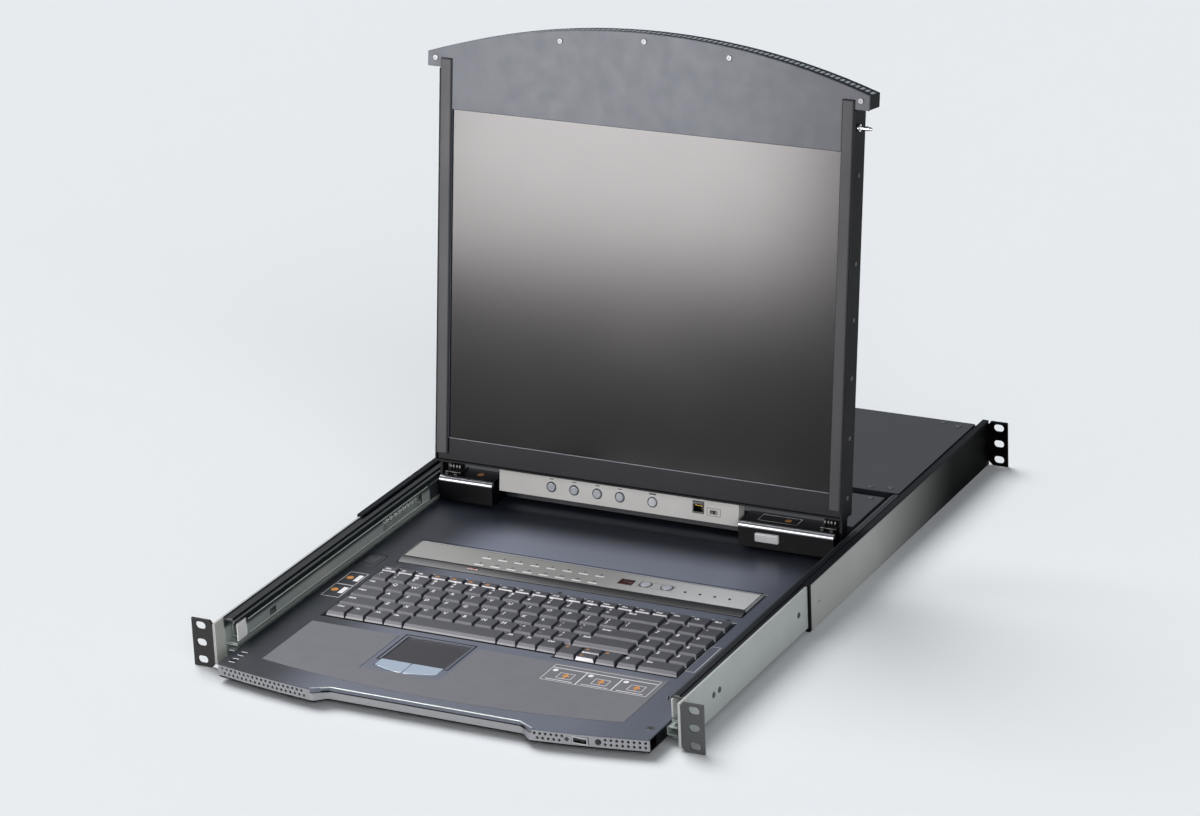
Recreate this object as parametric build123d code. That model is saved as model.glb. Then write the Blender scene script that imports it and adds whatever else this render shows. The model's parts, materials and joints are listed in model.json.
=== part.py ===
from build123d import *
import math
import os

os.makedirs("parts", exist_ok=True)

# Millimetres. X runs to the right, Y to the rear, Z up. The origin is the centre of the
# front mounting holes: half way between the two front ears, at mid height, on their front face.

# Rack standard
rack_unit = 44.0
hole_span = 465.1
ear_edge = 8.75
ear_inset = 12.55
ear_span = hole_span + 2 * ear_edge
hole_pitch = 15.875
hole_width = 10.0
hole_height = 7.0
rack_depth = 665.0

# Side rails
rail_half = hole_span / 2 - ear_inset
rail_wall = 2.0
rail_top = 20.1
rail_low = -18.5
rail_rear = 656.0
flange_inner = rail_half - 11.3
flange_step = rail_half - 6.5
flange_low = 18.4
groove_floor = 19.0
rail_start = 14.0
bracket_gap = 0.3
bracket_wall = 1.6
bracket_front = 252.0
bracket_flange = 6.0
bracket_travel = 110.0
clamp_inset = 20.0
clamp_z = -4.0

peg_end = rail_half - 15.8
peg_y = 10.6
peg_z = 18.2
screw_r = 1.8
screw_clear = 0.4

# Ball bearing slides
slide_wall = 1.0
slide_gap = 0.8
slide_mouth = rail_half - 14.4
lcd_slide_low = -3.2
lcd_slide_high = 18.2
key_slide_low = -18.3
key_slide_high = -3.7
slide_front = 14.0
slide_rear = 646.0
middle_front = 24.0
middle_rear = 636.0
inner_front = 29.0
inner_rear = 600.0
window_front = 266.0
window_rear = 340.0
cage_pitch = 8.0
cage_tooth = 3.0

# Keyboard drawer
drawer_room = 17.2
drawer_half = rail_half - drawer_room
deck_top = -4.6
deck_wall = 1.5
drawer_low = -17.0
drawer_rear = 440.0
front_radius = 943.0
front_apex = -44.3
grip_half = 104.0
grip_curve = 15.0
grip_front = -30.0
grip_lip = 3.6
grip_gap = 0.8
front_wall = 1.5
grille_pitch = 4.75
grille_hole = 1.4
grille_rows = (-12.6, -8.6)

# Keyboard
key_pitch = 19.05
key_gap = 0.75
key_left = -169.3
key_right = 113.6
key_low = -5.6
key_top = -1.8
key_side_taper = 1.2
key_front_taper = 2.6
key_rear_taper = 1.2
key_clear = 0.7
key_travel = 2.5
stem_half = 2.0
stem_clear = 0.3
pad_rows_front = 93.9
frame_floor = -10.5
frame_wall = 1.5

# Status panel, touchpad and palm rest
panel_left = -166.4
panel_right = 170.5
panel_front = 224.4
panel_rear = 272.0
panel_top = -1.9
touch_left = -77.0
touch_right = -17.4
touch_front = 36.7
touch_rear = 83.3
touch_clear = 0.4
palm_left = 30.8 - drawer_half
palm_right = drawer_half - 33.1
palm_rear = 83.0
palm_radius = 879.0
palm_apex = -18.2
palm_film = 0.35

# Screen carriage
axis_y = 373.5
axis_z = 9.0
carriage_front = 388.0
carriage_rear = 460.0
carriage_room = 16.2
carriage_half = rail_half - carriage_room
carriage_low = -0.9
carriage_top = 20.1
arm_front = 352.5
block_front = 360.0
block_top = 21.5
block_round = 4.0
block_end = rail_half - 22.5
left_block_inner = -142.4
right_block_inner = 105.0
hinge_pin_r = 3.0
pin_clear = 0.08
leaf_gap = 1.0
leaf_wall = 2.8

# Screen lid, in its own frame: u runs up the lid from the hinge axis, w runs to its back
lid_lean = 7.92
lid_room = 17.0
lid_half = rail_half - lid_room
lid_wall = 1.5
lid_bottom = 24.3
lid_top = 388.0
lid_face = -11.7
lid_back = 10.8
screen_half = lid_half - 12.9
screen_low = 47.3
screen_high = 350.9
screen_face = -9.1
screen_depth = 7.0
screen_rim = 3.0
bezel_face = -9.6
bar_inner = screen_half + 0.5
bar_outer = lid_half - lid_wall
bar_face = -13.1
bar_low = 31.6
bar_high = 397.0
arch_radius = 687.0
tab_half = rail_half - 4.6
tab_height = 13.36
tab_low = lid_top + 0.8
arch_top = tab_low + tab_height + arch_radius - math.sqrt(arch_radius ** 2 - tab_half ** 2)
handle_face = -11.1
handle_back = 13.0
strip_left = -139.0
strip_right = 101.6
strip_low = 2.8
strip_high = 23.6
strip_face = -6.1
strip_back = 6.0
pin_end = rail_half - 4.4
button_height = 13.5
button_r = 4.2
button_clear = 0.4
button_sides = 24

# Rear housing
housing_front = 473.0
housing_room = 17.0
housing_half = rail_half - housing_room
cover_half = housing_half + 8.85
cover_low = 18.6
sheet = 1.5
housing_low = -20.1


def block(x0, x1, y0, y1, z0, z1):
    """Return a box between two opposite corners."""
    middle = ((x0 + x1) / 2, (y0 + y1) / 2, (z0 + z1) / 2)
    return Pos(*middle) * Box(abs(x1 - x0), abs(y1 - y0), abs(z1 - z0))


def prism_x(points, x0, x1):
    """Return a bar along X with the outline given as (y, z) points."""
    face = make_face(Polyline(*[(x0, y, z) for y, z in points], close=True))
    return extrude(face, amount=x1 - x0, dir=(1, 0, 0))


def prism_y(points, y0, y1):
    """Return a bar along Y with the outline given as (x, z) points."""
    face = make_face(Polyline(*[(x, y0, z) for x, z in points], close=True))
    return extrude(face, amount=y1 - y0, dir=(0, 1, 0))


def rod(radius, length, sides):
    """Return a centred rod along Z, round or, where it is small, with a few flat sides."""
    if sides:
        return extrude(RegularPolygon(radius, sides), amount=length / 2, both=True)
    return Cylinder(radius, length)


def rod_x(x0, x1, y, z, radius, sides=0):
    """Return a rod along X."""
    return Pos((x0 + x1) / 2, y, z) * Rot(0, 90, 0) * rod(radius, abs(x1 - x0), sides)


def rod_y(x, y0, y1, z, radius, sides=0):
    """Return a rod along Y."""
    return Pos(x, (y0 + y1) / 2, z) * Rot(90, 0, 0) * rod(radius, abs(y1 - y0), sides)


def rod_z(x, y, z0, z1, radius, sides=0):
    """Return a rod along Z."""
    return Pos(x, y, (z0 + z1) / 2) * rod(radius, abs(z1 - z0), sides)


def slot_y(x, z, width, height, y0, y1):
    """Return a cutter along Y with the outline of a slot that is longest along X."""
    body = block(x - (width - height) / 2, x + (width - height) / 2, y0, y1, z - height / 2, z + height / 2)
    for side in (-1, 1):
        body += rod_y(x + side * (width - height) / 2, y0, y1, z, height / 2)
    return body


def mirrored(shape):
    """Return the shape's mirror image on the left."""
    return mirror(shape, about=Plane.YZ)


def save(name, *shapes):
    """Write one named sub-part made of one or more separate solids."""
    solids = []
    for shape in shapes:
        solids.extend(shape.solids())
    part = solids[0] if len(solids) == 1 else Compound(children=solids)
    part.label = name
    export_step(part, "parts/" + name + ".step")


# Side rails: one bent sheet each, with a mounting ear, a stepped top flange and a bracket slot
def ear_plate(y0, y1, foot):
    """Return the right ear with its three slotted holes, joined to the wall at x = foot."""
    edge = ear_span / 2
    half = rack_unit / 2
    outline = [(foot, half - 4), (foot + 3, half), (edge, half), (edge, -half), (foot + 4, -half)]
    outline += [(foot, -half + 4)]
    plate = prism_y(outline, y0, y1)
    for row in (-1, 0, 1):
        plate -= slot_y(hole_span / 2, row * hole_pitch, hole_width, hole_height, y0 - 1, y1 + 1)
    return plate


rail_screws = ((63.4, 0.5), (74.5, 0.5), (233.7, 1.2))


def side_rail():
    """Return the right side rail."""
    inner = rail_half - rail_wall
    rail = block(inner, rail_half, 0, rail_rear, rail_low, rail_top)
    step = [(inner, flange_low), (inner, groove_floor), (flange_step, groove_floor)]
    step += [(flange_step, rail_top), (flange_inner, rail_top), (flange_inner, flange_low)]
    rail += prism_y(step, rail_start, housing_front - 3)
    rail += ear_plate(0, rail_wall, rail_half)
    slot_start = bracket_front + clamp_inset - 6
    slot_end = bracket_front + clamp_inset + bracket_travel + 6
    rail -= block(inner - 1, rail_half + 1, slot_start, slot_end, clamp_z - 2.3, clamp_z + 2.3)
    for y, z in rail_screws:
        rail -= rod_x(inner - 1, rail_half + 1, y, z, screw_r + screw_clear, 6)
    return rail


right_rail = side_rail()
save("side_rail_right", right_rail)
save("side_rail_left", mirrored(right_rail))


# Rear brackets: a sleeve outside each rail, with the rear ear and a clamp screw in the slot
def rear_bracket():
    """Return the right rear bracket and its clamp screw as separate solids."""
    inner = rail_half + bracket_gap
    outer = inner + bracket_wall
    half = rack_unit / 2
    flange = bracket_wall
    profile = [(outer, half), (outer, -half), (outer - bracket_flange, -half)]
    profile += [(outer - bracket_flange, -half + flange), (inner, -half + flange), (inner, half - flange)]
    profile += [(outer - bracket_flange, half - flange), (outer - bracket_flange, half)]
    sleeve = prism_y(profile, bracket_front, rack_depth)
    sleeve += ear_plate(rack_depth - bracket_wall, rack_depth, outer)
    y = bracket_front + clamp_inset
    sleeve -= rod_x(inner - 1, outer + 1, y, clamp_z, screw_r + screw_clear, 6)
    screw = rod_x(rail_half - rail_wall + 0.2, outer, y, clamp_z, screw_r, 8)
    screw += rod_x(outer, outer + 1.6, y, clamp_z, 3.8, 12)
    return sleeve, screw


right_bracket, right_screw = rear_bracket()
save("rear_bracket_right", right_bracket, right_screw)
save("rear_bracket_left", mirrored(right_bracket), mirrored(right_screw))


# Telescopic slides: an outer channel on the rail, a middle channel and an inner channel, nested
def channel(web, mouth, low, high, y0, y1):
    """Return a C channel: its web stands at x = web and its lips reach x = mouth."""
    turn = slide_wall if mouth > web else -slide_wall
    outline = [(web, low), (mouth, low), (mouth, low + slide_wall), (web + turn, low + slide_wall)]
    outline += [(web + turn, high - slide_wall), (mouth, high - slide_wall), (mouth, high), (web, high)]
    return prism_y(outline, y0, y1)


nest = slide_wall + slide_gap
outer_web = rail_half - rail_wall
middle_web = outer_web - slide_wall - slide_gap
inner_web = carriage_half


def slide_members(low, high, web_inner, front, rear):
    """Return the outer, middle and inner members of one right slide."""
    outer = channel(outer_web, slide_mouth, low, high, slide_front, slide_rear)
    middle = channel(middle_web, slide_mouth + 1.4, low + nest, high - nest, middle_front, middle_rear)
    inner = channel(web_inner, outer_web - 6, low + 2 * nest, high - 2 * nest, front, rear)
    return outer, middle, inner


lcd_outer, lcd_middle, lcd_inner = slide_members(
    lcd_slide_low, lcd_slide_high, inner_web, inner_front, inner_rear)
key_outer, key_middle, key_inner = slide_members(
    key_slide_low, key_slide_high, drawer_half, 10, drawer_rear - 4)

# Latch hole near the front of the screen slide, and the window that shows its ball cage
lcd_inner -= block(inner_web - 1, inner_web + slide_wall, 66, 78, -1, 8)
lcd_inner -= block(inner_web - 1, outer_web, window_front, window_rear, lcd_slide_low, 12)
save("slide_outer_members", lcd_outer, key_outer, mirrored(lcd_outer), mirrored(key_outer))
save("lcd_slide_middles", lcd_middle, mirrored(lcd_middle))
save("keyboard_slide_middles", key_middle, mirrored(key_middle))
save("lcd_slide_inners", lcd_inner, mirrored(lcd_inner))
save("keyboard_slide_inners", key_inner, mirrored(key_inner))


def ball_cage(low, high):
    """Return the right ball cage: a toothed strip standing just inside the middle channel."""
    bottom = low + nest + slide_wall + 0.3
    top = high - nest - slide_wall - 0.3
    count = 12
    start = window_front - 10
    points = []
    for index in range(count):
        y = start + index * cage_pitch
        points += [(y, top), (y + cage_pitch - cage_tooth, top)]
        points += [(y + cage_pitch - cage_tooth, top - 2.5), (y + cage_pitch, top - 2.5)]
    for index in reversed(range(count)):
        y = start + index * cage_pitch
        points += [(y + cage_pitch, bottom + 2.5), (y + cage_pitch - cage_tooth, bottom + 2.5)]
        points += [(y + cage_pitch - cage_tooth, bottom), (y, bottom)]
    web = middle_web - slide_wall
    return prism_x(points, web - 1.4, web - 0.4)


lcd_cage = ball_cage(lcd_slide_low, lcd_slide_high)
save("lcd_slide_cages", lcd_cage, mirrored(lcd_cage))

# Rear housing: a pan with the connector wall at its back, a cover, electronics and connectors
pan = block(-housing_half, housing_half, housing_front, rail_rear, housing_low, housing_low + sheet)
pan += block(-housing_half, -housing_half + sheet, housing_front, rail_rear, housing_low, cover_low)
pan += block(housing_half - sheet, housing_half, housing_front, rail_rear, housing_low, cover_low)
pan += block(-housing_half, housing_half, housing_front, housing_front + sheet, housing_low, cover_low)
pan += block(-outer_web, outer_web, rail_rear - sheet, rail_rear, housing_low, cover_low)
port_xs = [housing_half - 221 + 25.5 * column for column in range(8)]
port_zs = (-9.5, 8.5)
inlet_x = 35 - housing_half
rocker_x = inlet_x + 40
for x in port_xs:
    for z in port_zs:
        pan -= block(x - 8.6, x + 8.6, rail_rear - 3, rail_rear + 1, z - 4.4, z + 4.4)
pan -= block(inlet_x - 14, inlet_x + 14, rail_rear - 3, rail_rear + 1, -11, 11)
pan -= block(rocker_x - 7, rocker_x + 7, rail_rear - 3, rail_rear + 1, -10.5, 10.5)
for index in range(9):
    x = -104 + index * 7
    pan -= block(x - 1.5, x + 1.5, rail_rear - 3, rail_rear + 1, -9, 9)
save("rear_pan", pan)

cover = block(-cover_half, cover_half, housing_front, rail_rear, cover_low, cover_low + sheet)
cover_screws = [(housing_half - 21.5, 479.7), (housing_half - 3.0, 483.0)]
cover_screws += [(housing_half - 19.7, 649.0), (housing_half - 3.1, 645.0)]
for x, y in cover_screws:
    for side in (-1, 1):
        cover -= rod_z(side * x, y, cover_low - 1, cover_low + sheet + 1, 1.8, 6)
save("rear_cover", cover)


def d_port(x, z):
    """Return one female D-shaped connector: a shell with an insulator set back inside it."""
    wide, narrow, half = 8.2, 7.2, 4.0
    shell = prism_y([(x - wide, z + half), (x + wide, z + half), (x + narrow, z - half), (x - narrow, z - half)],
                    rail_rear - 8, rail_rear + 5)
    shell -= prism_y([(x - wide + 1, z + half - 0.7), (x + wide - 1, z + half - 0.7),
                      (x + narrow - 1, z - half + 0.7), (x - narrow + 1, z - half + 0.7)],
                     rail_rear + 3.8, rail_rear + 6)
    return shell


ports = [d_port(x, z) for x in port_xs for z in port_zs]
inlet = block(inlet_x - 13.8, inlet_x + 13.8, rail_rear - 18, rail_rear + 1.5, -10.8, 10.8)
inlet += block(inlet_x - 15.5, inlet_x + 15.5, rail_rear, rail_rear + 1.5, -13, 13)
inlet -= block(inlet_x - 12, inlet_x + 12, rail_rear - 15, rail_rear + 2, -8, 8)
for x, z in ((-7, -2), (7, -2), (0, 2.5)):
    inlet += block(inlet_x + x - 1, inlet_x + x + 1, rail_rear - 16, rail_rear - 6, z - 2, z + 2)
bezel = block(rocker_x - 6.8, rocker_x + 6.8, rail_rear - 10, rail_rear + 1.5, -10.3, 10.3)
bezel += block(rocker_x - 8, rocker_x + 8, rail_rear, rail_rear + 1.5, -12, 12)
bezel -= block(rocker_x - 5.3, rocker_x + 5.3, rail_rear - 8, rail_rear + 2, -8.8, 8.8)
rocker_axis_y = rail_rear - 2.0
rocker_pin_r = 1.0
bezel -= rod_x(rocker_x - 6.5, rocker_x + 6.5, rocker_axis_y, 0, rocker_pin_r + pin_clear)
save("power_inlet", inlet, bezel)
save("port_connectors", *ports)

rocker = prism_x([(rocker_axis_y - 3, -6.5), (rocker_axis_y + 3.2, -8.2), (rocker_axis_y + 2.2, 0),
                  (rocker_axis_y + 3.2, 8.2), (rocker_axis_y - 3, 6.5)], rocker_x - 5, rocker_x + 5)
rocker_tilt = 8.0
rocker += rod_x(rocker_x - 6.4, rocker_x + 6.4, rocker_axis_y, 0, rocker_pin_r)
rocker = Pos(0, rocker_axis_y, 0) * Rot(rocker_tilt, 0, 0) * Pos(0, -rocker_axis_y, 0) * rocker
save("power_rocker", rocker)

floor = housing_low + sheet
board_right = housing_half - 5
main_board = block(-40, board_right, housing_front + 6, rail_rear - 9, floor + 3, floor + 4.6)
board_posts = ((-34, 484), (board_right - 8, 484), (-34, 640), (board_right - 8, 640), (80, 560))
for x, y in board_posts:
    main_board += rod_z(x, y, floor, floor + 3.2, 3, 6)
supply = block(7 - housing_half, 95 - housing_half, housing_front + 10, rail_rear - 30, floor, floor + 30)
save("housing_electronics", main_board, supply)


# Chassis screws: cover screws, rail screws, the slide stop pegs at the rail fronts
def pan_head(x, y, z, radius, height):
    """Return a screw whose head stands on a face that looks up."""
    screw = rod_z(x, y, z - 4, z, radius * 0.5, 6)
    screw += rod_z(x, y, z, z + height, radius, 10)
    return screw


chassis_screws = []
for x, y in cover_screws:
    for side in (-1, 1):
        chassis_screws.append(pan_head(side * x, y, cover_low + sheet, 2.8, 0.8))
for side in (-1, 1):
    for y, z in rail_screws:
        screw = rod_x(side * outer_web, side * (rail_half + 0.2), y, z, screw_r, 6)
        screw += rod_x(side * rail_half, side * (rail_half + 0.7), y, z, 2.8, 10)
        chassis_screws.append(screw)
    peg = rod_x(side * peg_end, side * outer_web, peg_y, peg_z, 1.4, 8)
    peg += rod_x(side * peg_end, side * (peg_end + 2.4), peg_y, peg_z, 1.9, 10)
    chassis_screws.append(peg)
save("chassis_screws", *chassis_screws)


# Keyboard drawer: one plan outline gives the deck, the front wall and the base
def drawer_plan(shift, z):
    """Return the drawer's outline as a face: an arched front with a grip recess in its middle."""
    def arch(x):
        return front_apex + shift + x * x / (2 * front_radius)
    corner = drawer_half
    start = grip_half
    end = grip_half - grip_curve
    grip = grip_front + shift
    mid = (corner + start) / 2
    edges = [ThreePointArc((-corner, arch(corner), z), (-mid, arch(mid), z), (-start, arch(start), z))]
    edges.append(Bezier((-start, arch(start), z), (-start + 6, arch(start) - 0.6, z),
                        (-end - 7, grip, z), (-end, grip, z)))
    edges.append(Line((-end, grip, z), (end, grip, z)))
    edges.append(Bezier((end, grip, z), (end + 7, grip, z),
                        (start - 6, arch(start) - 0.6, z), (start, arch(start), z)))
    edges.append(ThreePointArc((start, arch(start), z), (mid, arch(mid), z), (corner, arch(corner), z)))
    edges.append(Line((corner, arch(corner), z), (corner, drawer_rear, z)))
    edges.append(Line((corner, drawer_rear, z), (-corner, drawer_rear, z)))
    edges.append(Line((-corner, drawer_rear, z), (-corner, arch(corner), z)))
    return make_face(edges)


def drawer_slab(shift, z0, z1):
    """Return the drawer outline as a slab."""
    return extrude(drawer_plan(shift, z0), amount=z1 - z0, dir=(0, 0, 1))


deck_low = deck_top - deck_wall
lip_low = deck_low - grip_lip + deck_wall
step_x = 56.0
open_rear = 207.8
open_left = key_left - key_clear
open_right = key_right + 1.0 + 3 * key_pitch + key_clear
main_front = 99.8

deck = drawer_slab(0, deck_low, deck_top)
lip = drawer_slab(0, lip_low, deck_low) - drawer_slab(front_wall, lip_low - 1, deck_low + 1)
lip = lip & block(-grip_half, grip_half, -60, -10, lip_low, deck_low)
deck += lip
deck -= block(open_left, step_x, main_front - 1.8, open_rear, -10, 0)
deck -= block(step_x - 0.1, open_right, pad_rows_front - 0.9, open_rear, -10, 0)


def touch_opening(clear, z0, z1):
    """Return the shape of the touchpad and its buttons, with a curved front, as a slab."""
    x0 = touch_left - clear
    x1 = touch_right + clear
    middle = (x0 + x1) / 2
    front = 23.4 - clear
    tip = 16.8 - clear
    edges = [Line((x1, front, z0), (x1, touch_rear + clear, z0))]
    edges.append(Line((x1, touch_rear + clear, z0), (x0, touch_rear + clear, z0)))
    edges.append(Line((x0, touch_rear + clear, z0), (x0, front, z0)))
    edges.append(ThreePointArc((x0, front, z0), (middle, tip, z0), (x1, front, z0)))
    return extrude(make_face(edges), amount=z1 - z0, dir=(0, 0, 1))


deck -= touch_opening(touch_clear, -10, 0)
catch_x, catch_y, catch_w, catch_l = -189.5, 219.0, 19.0, 27.0
catch_hole = RectangleRounded(catch_w + 0.8, catch_l + 0.8, 4.4)
deck -= Pos(catch_x, catch_y, -10) * extrude(catch_hole, amount=10)
for index in range(4):
    deck -= block(-196.5, -189.5, -14 + index * 5, -12.2 + index * 5, -10, 0)
lock_x, lock_y = 194.5, -3.0
deck -= rod_z(lock_x, lock_y, -10, 0, 3.4)
for x in (-160.0, 1.0, 163.0):
    deck -= rod_z(x, 214.0, deck_top - 0.9, deck_top + 1, 2.4, 8)
save("drawer_deck", deck)

base = drawer_slab(0, drawer_low, drawer_low + sheet)
for side in (-1, 1):
    base += block(side * drawer_half, side * (drawer_half - sheet), -8, drawer_rear, drawer_low, deck_low)
base += block(-drawer_half, drawer_half, drawer_rear - sheet, drawer_rear, drawer_low, deck_low)
save("drawer_base", base)

# Front wall: two perforated bands with staggered holes and, between them, the grip bar
grille_low = drawer_low + sheet
wall_band = drawer_slab(0, grille_low, lip_low - grip_gap) - drawer_slab(front_wall, grille_low - 1, deck_low)
grip_bar = wall_band & block(-grip_half, grip_half, -60, 0, grille_low, lip_low - grip_gap)


def arch_y(x):
    """Return the drawer front's place along Y at one x."""
    return front_apex + x * x / (2 * front_radius)


def grille_band(side):
    """Return one perforated band: the arched front in three flat stretches."""
    xs = [side * (grip_half + step * (drawer_half - grip_half) / 3) for step in range(4)]
    outline = [(x, arch_y(x), grille_low) for x in xs]
    outline += [(x, arch_y(x) + front_wall, grille_low) for x in reversed(xs)]
    return extrude(make_face(Polyline(*outline, close=True)), amount=deck_low - grille_low, dir=(0, 0, 1))


left_band = grille_band(-1)
right_band = grille_band(1)


def hex_hole(x, z):
    """Return a six-sided cutter along Y."""
    points = [(x + grille_hole * math.cos(math.radians(60 * k)),
               z + grille_hole * math.sin(math.radians(60 * k))) for k in range(6)]
    return prism_y(points, -48, -12)


usb_x, usb_z = 145.4, -10.9
lamp_x, reset_x = 134.2, 160.5
left_holes = []
right_holes = []
for row, z in enumerate(grille_rows):
    stagger = (1 - row) * grille_pitch / 2
    for column in range(19):
        left_holes.append(hex_hole(4.3 - drawer_half + column * grille_pitch + stagger, z))
    for column in range(5 + row):
        right_holes.append(hex_hole(106.3 + column * grille_pitch + stagger, z))
    for column in range(8):
        right_holes.append(hex_hole(166.4 + column * grille_pitch, z))
left_band -= left_holes
right_band -= right_holes
right_band -= block(usb_x - 7.2, usb_x + 7.2, -60, 0, usb_z - 3.4, usb_z + 3.0)
right_band -= rod_y(lamp_x, -60, 0, usb_z, 1.9, 8)
right_band -= rod_y(reset_x, -60, 0, usb_z, 2.7, 16)
save("drawer_front", left_band, right_band, grip_bar)

front_at_usb = arch_y(usb_x)
usb = block(usb_x - 6.9, usb_x + 6.9, front_at_usb - 0.3, front_at_usb + 14, usb_z - 3.2, usb_z + 2.8)
usb -= block(usb_x - 6.2, usb_x + 6.2, front_at_usb - 1, front_at_usb + 12, usb_z - 2.5, usb_z + 2.1)
tongue = block(usb_x - 5.4, usb_x + 5.4, front_at_usb + 1, front_at_usb + 12.5, usb_z + 0.2, usb_z + 1.6)
save("usb_port", usb + tongue)

# Keyboard frame: a shallow tray that hangs under the deck opening
frame_left = open_left - 3
frame_right = open_right + 3
frame_front = pad_rows_front - 3
frame_rear = panel_front - 2
frame = block(frame_left, frame_right, frame_front, frame_rear, frame_floor, deck_low)
frame -= block(frame_left + frame_wall, frame_right - frame_wall, frame_front + frame_wall, open_rear + 0.6,
               frame_floor + 1.2, 0)
stem_low = frame_floor - 1.0
key_seats = []


def key(x0, x1, y0, y1):
    """Return one key cap on its guide stem: a tapered block whose front face slopes most."""
    x_mid = (x0 + x1) / 2
    y_mid = (y0 + y1) / 2
    key_seats.append((x_mid, y_mid))
    left, right = x0 + key_gap / 2, x1 - key_gap / 2
    front, rear = y0 + key_gap / 2, y1 - key_gap / 2
    depth = min(1.0, (y1 - y0) / key_pitch)
    across = prism_y([(left, key_low), (right, key_low), (right - key_side_taper, key_top),
                      (left + key_side_taper, key_top)], front, rear)
    along = prism_x([(front, key_low), (rear, key_low), (rear - key_rear_taper * depth, key_top),
                     (front + key_front_taper * depth, key_top)], left, right)
    stem = block(x_mid - stem_half, x_mid + stem_half, y_mid - stem_half, y_mid + stem_half, stem_low, key_low)
    return (across & along) + stem


def key_row(widths, y0, y1):
    """Return the keys of one row from their widths, left to right."""
    x = key_left
    keys = []
    for width in widths:
        keys.append(key(x, x + width, y0, y1))
        x += width
    return keys


span = key_right - key_left
row_ys = [main_front, 120.3, 139.4, 158.4, 177.5, 196.9]
function_row = key_row([span / 17] * 17, row_ys[5], open_rear - key_clear)
number_row = key_row([16.3] + [key_pitch] * 12 + [span - 16.3 - 12 * key_pitch], row_ys[4], row_ys[5])
upper_row = key_row([24.8] + [key_pitch] * 12 + [span - 24.8 - 12 * key_pitch], row_ys[3], row_ys[4])
home_row = key_row([28.8] + [key_pitch] * 11 + [span - 28.8 - 11 * key_pitch], row_ys[2], row_ys[3])
lower_row = key_row([38.3] + [key_pitch] * 10 + [span - 38.3 - 10 * key_pitch], row_ys[1], row_ys[2])
space_width = 91.1
bottom_row = key_row([key_pitch] * 4 + [space_width] + [key_pitch] * 3, row_ys[0], row_ys[1])
arrow_left = key_right - 3 * key_pitch
arrow_rear = row_ys[1] - 4.6
arrow_half = (pad_rows_front + arrow_rear) / 2
bottom_row.append(key(arrow_left, arrow_left + key_pitch, pad_rows_front, arrow_rear))
bottom_row.append(key(arrow_left + key_pitch, arrow_left + 2 * key_pitch, pad_rows_front, arrow_half))
bottom_row.append(key(arrow_left + key_pitch, arrow_left + 2 * key_pitch, arrow_half, arrow_rear))
bottom_row.append(key(arrow_left + 2 * key_pitch, key_right, pad_rows_front, arrow_rear))
pad_left = key_right + 1.0
keypad = []
for row in range(6):
    y = pad_rows_front + row * key_pitch
    if row == 0:
        keypad.append(key(pad_left, pad_left + key_pitch, y, y + key_pitch))
        keypad.append(key(pad_left + key_pitch, pad_left + 3 * key_pitch, y, y + key_pitch))
    else:
        for column in range(3):
            x = pad_left + column * key_pitch
            keypad.append(key(x, x + key_pitch, y, min(y + key_pitch, open_rear - key_clear)))
save("keys_function_row", *function_row)
save("keys_number_row", *number_row)
save("keys_upper_row", *upper_row)
save("keys_home_row", *home_row)
save("keys_lower_row", *lower_row)
save("keys_bottom_row", *bottom_row)
save("keys_keypad", *keypad)

stem_room = stem_half + stem_clear
for row_y in sorted({y for x, y in key_seats}):
    row_xs = [x for x, y in key_seats if y == row_y]
    frame -= block(min(row_xs) - stem_room, max(row_xs) + stem_room, row_y - stem_room, row_y + stem_room,
                   frame_floor - 1, frame_floor + 2)
save("keyboard_frame", frame)

# Status panel: a raised plate with a sloped front lip, a display window and two buttons
status = prism_x([(panel_front, deck_top), (panel_front + 9.6, panel_top), (panel_rear - 4.5, panel_top),
                  (panel_rear, deck_top)], panel_left, panel_right)
window = (40.5, 54.5, 245.6, 257.7)
status -= block(window[0], window[1], window[2], window[3], deck_top, 0)
port_button_r = 4.9
port_buttons = ((65.9, 252.0), (86.4, 252.0))
lamp_xs = [105.2 + index * 14.2 for index in range(4)]
for x, y in port_buttons:
    status -= rod_z(x, y, deck_top, 0, port_button_r + button_clear, button_sides)
for x in lamp_xs:
    status -= rod_z(x, 249.3, deck_top, 0, 1.4, 6)
save("status_panel", status)
lamps = [block(window[0], window[1], window[2], window[3], deck_top, panel_top - 0.3)]
for x in lamp_xs:
    lamps.append(rod_z(x, 249.3, deck_top, panel_top + 0.2, 1.2, 6))
lamps.append(rod_y(lamp_x, arch_y(lamp_x) - 0.6, arch_y(lamp_x) + 6, usb_z, 1.7, 8))
save("drawer_lamps", *lamps)
save("reset_button", rod_y(reset_x, arch_y(reset_x) - 0.6, arch_y(reset_x) + 6, usb_z, 2.3, 16))
for number, (x, y) in enumerate(port_buttons, 1):
    save("port_button_" + str(number), rod_z(x, y, deck_top + 0.9, panel_top + 0.9, port_button_r, button_sides))

# Touchpad with two buttons, palm film and the drawer catch
pad = block(touch_left, touch_right, touch_front, touch_rear, deck_low - 0.2, deck_top - 0.5)
pad += block(touch_left - 3, touch_right + 3, touch_front + 0.6, touch_rear + 3, deck_low - 1.4, deck_low)
save("touchpad", pad)
button_area = touch_opening(0, deck_low - 1.4, deck_top + 0.5)
split = (touch_left + touch_right) / 2
button_rear = touch_front - touch_clear
left_button = button_area & block(touch_left, split - 0.25, 0, button_rear, -10, 0)
right_button = button_area & block(split + 0.25, touch_right, 0, button_rear, -10, 0)
save("touchpad_button_left", left_button)
save("touchpad_button_right", right_button)


def palm_edge(x):
    """Return the front edge of the palm film at one x."""
    return palm_apex + x * x / (2 * palm_radius)


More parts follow.
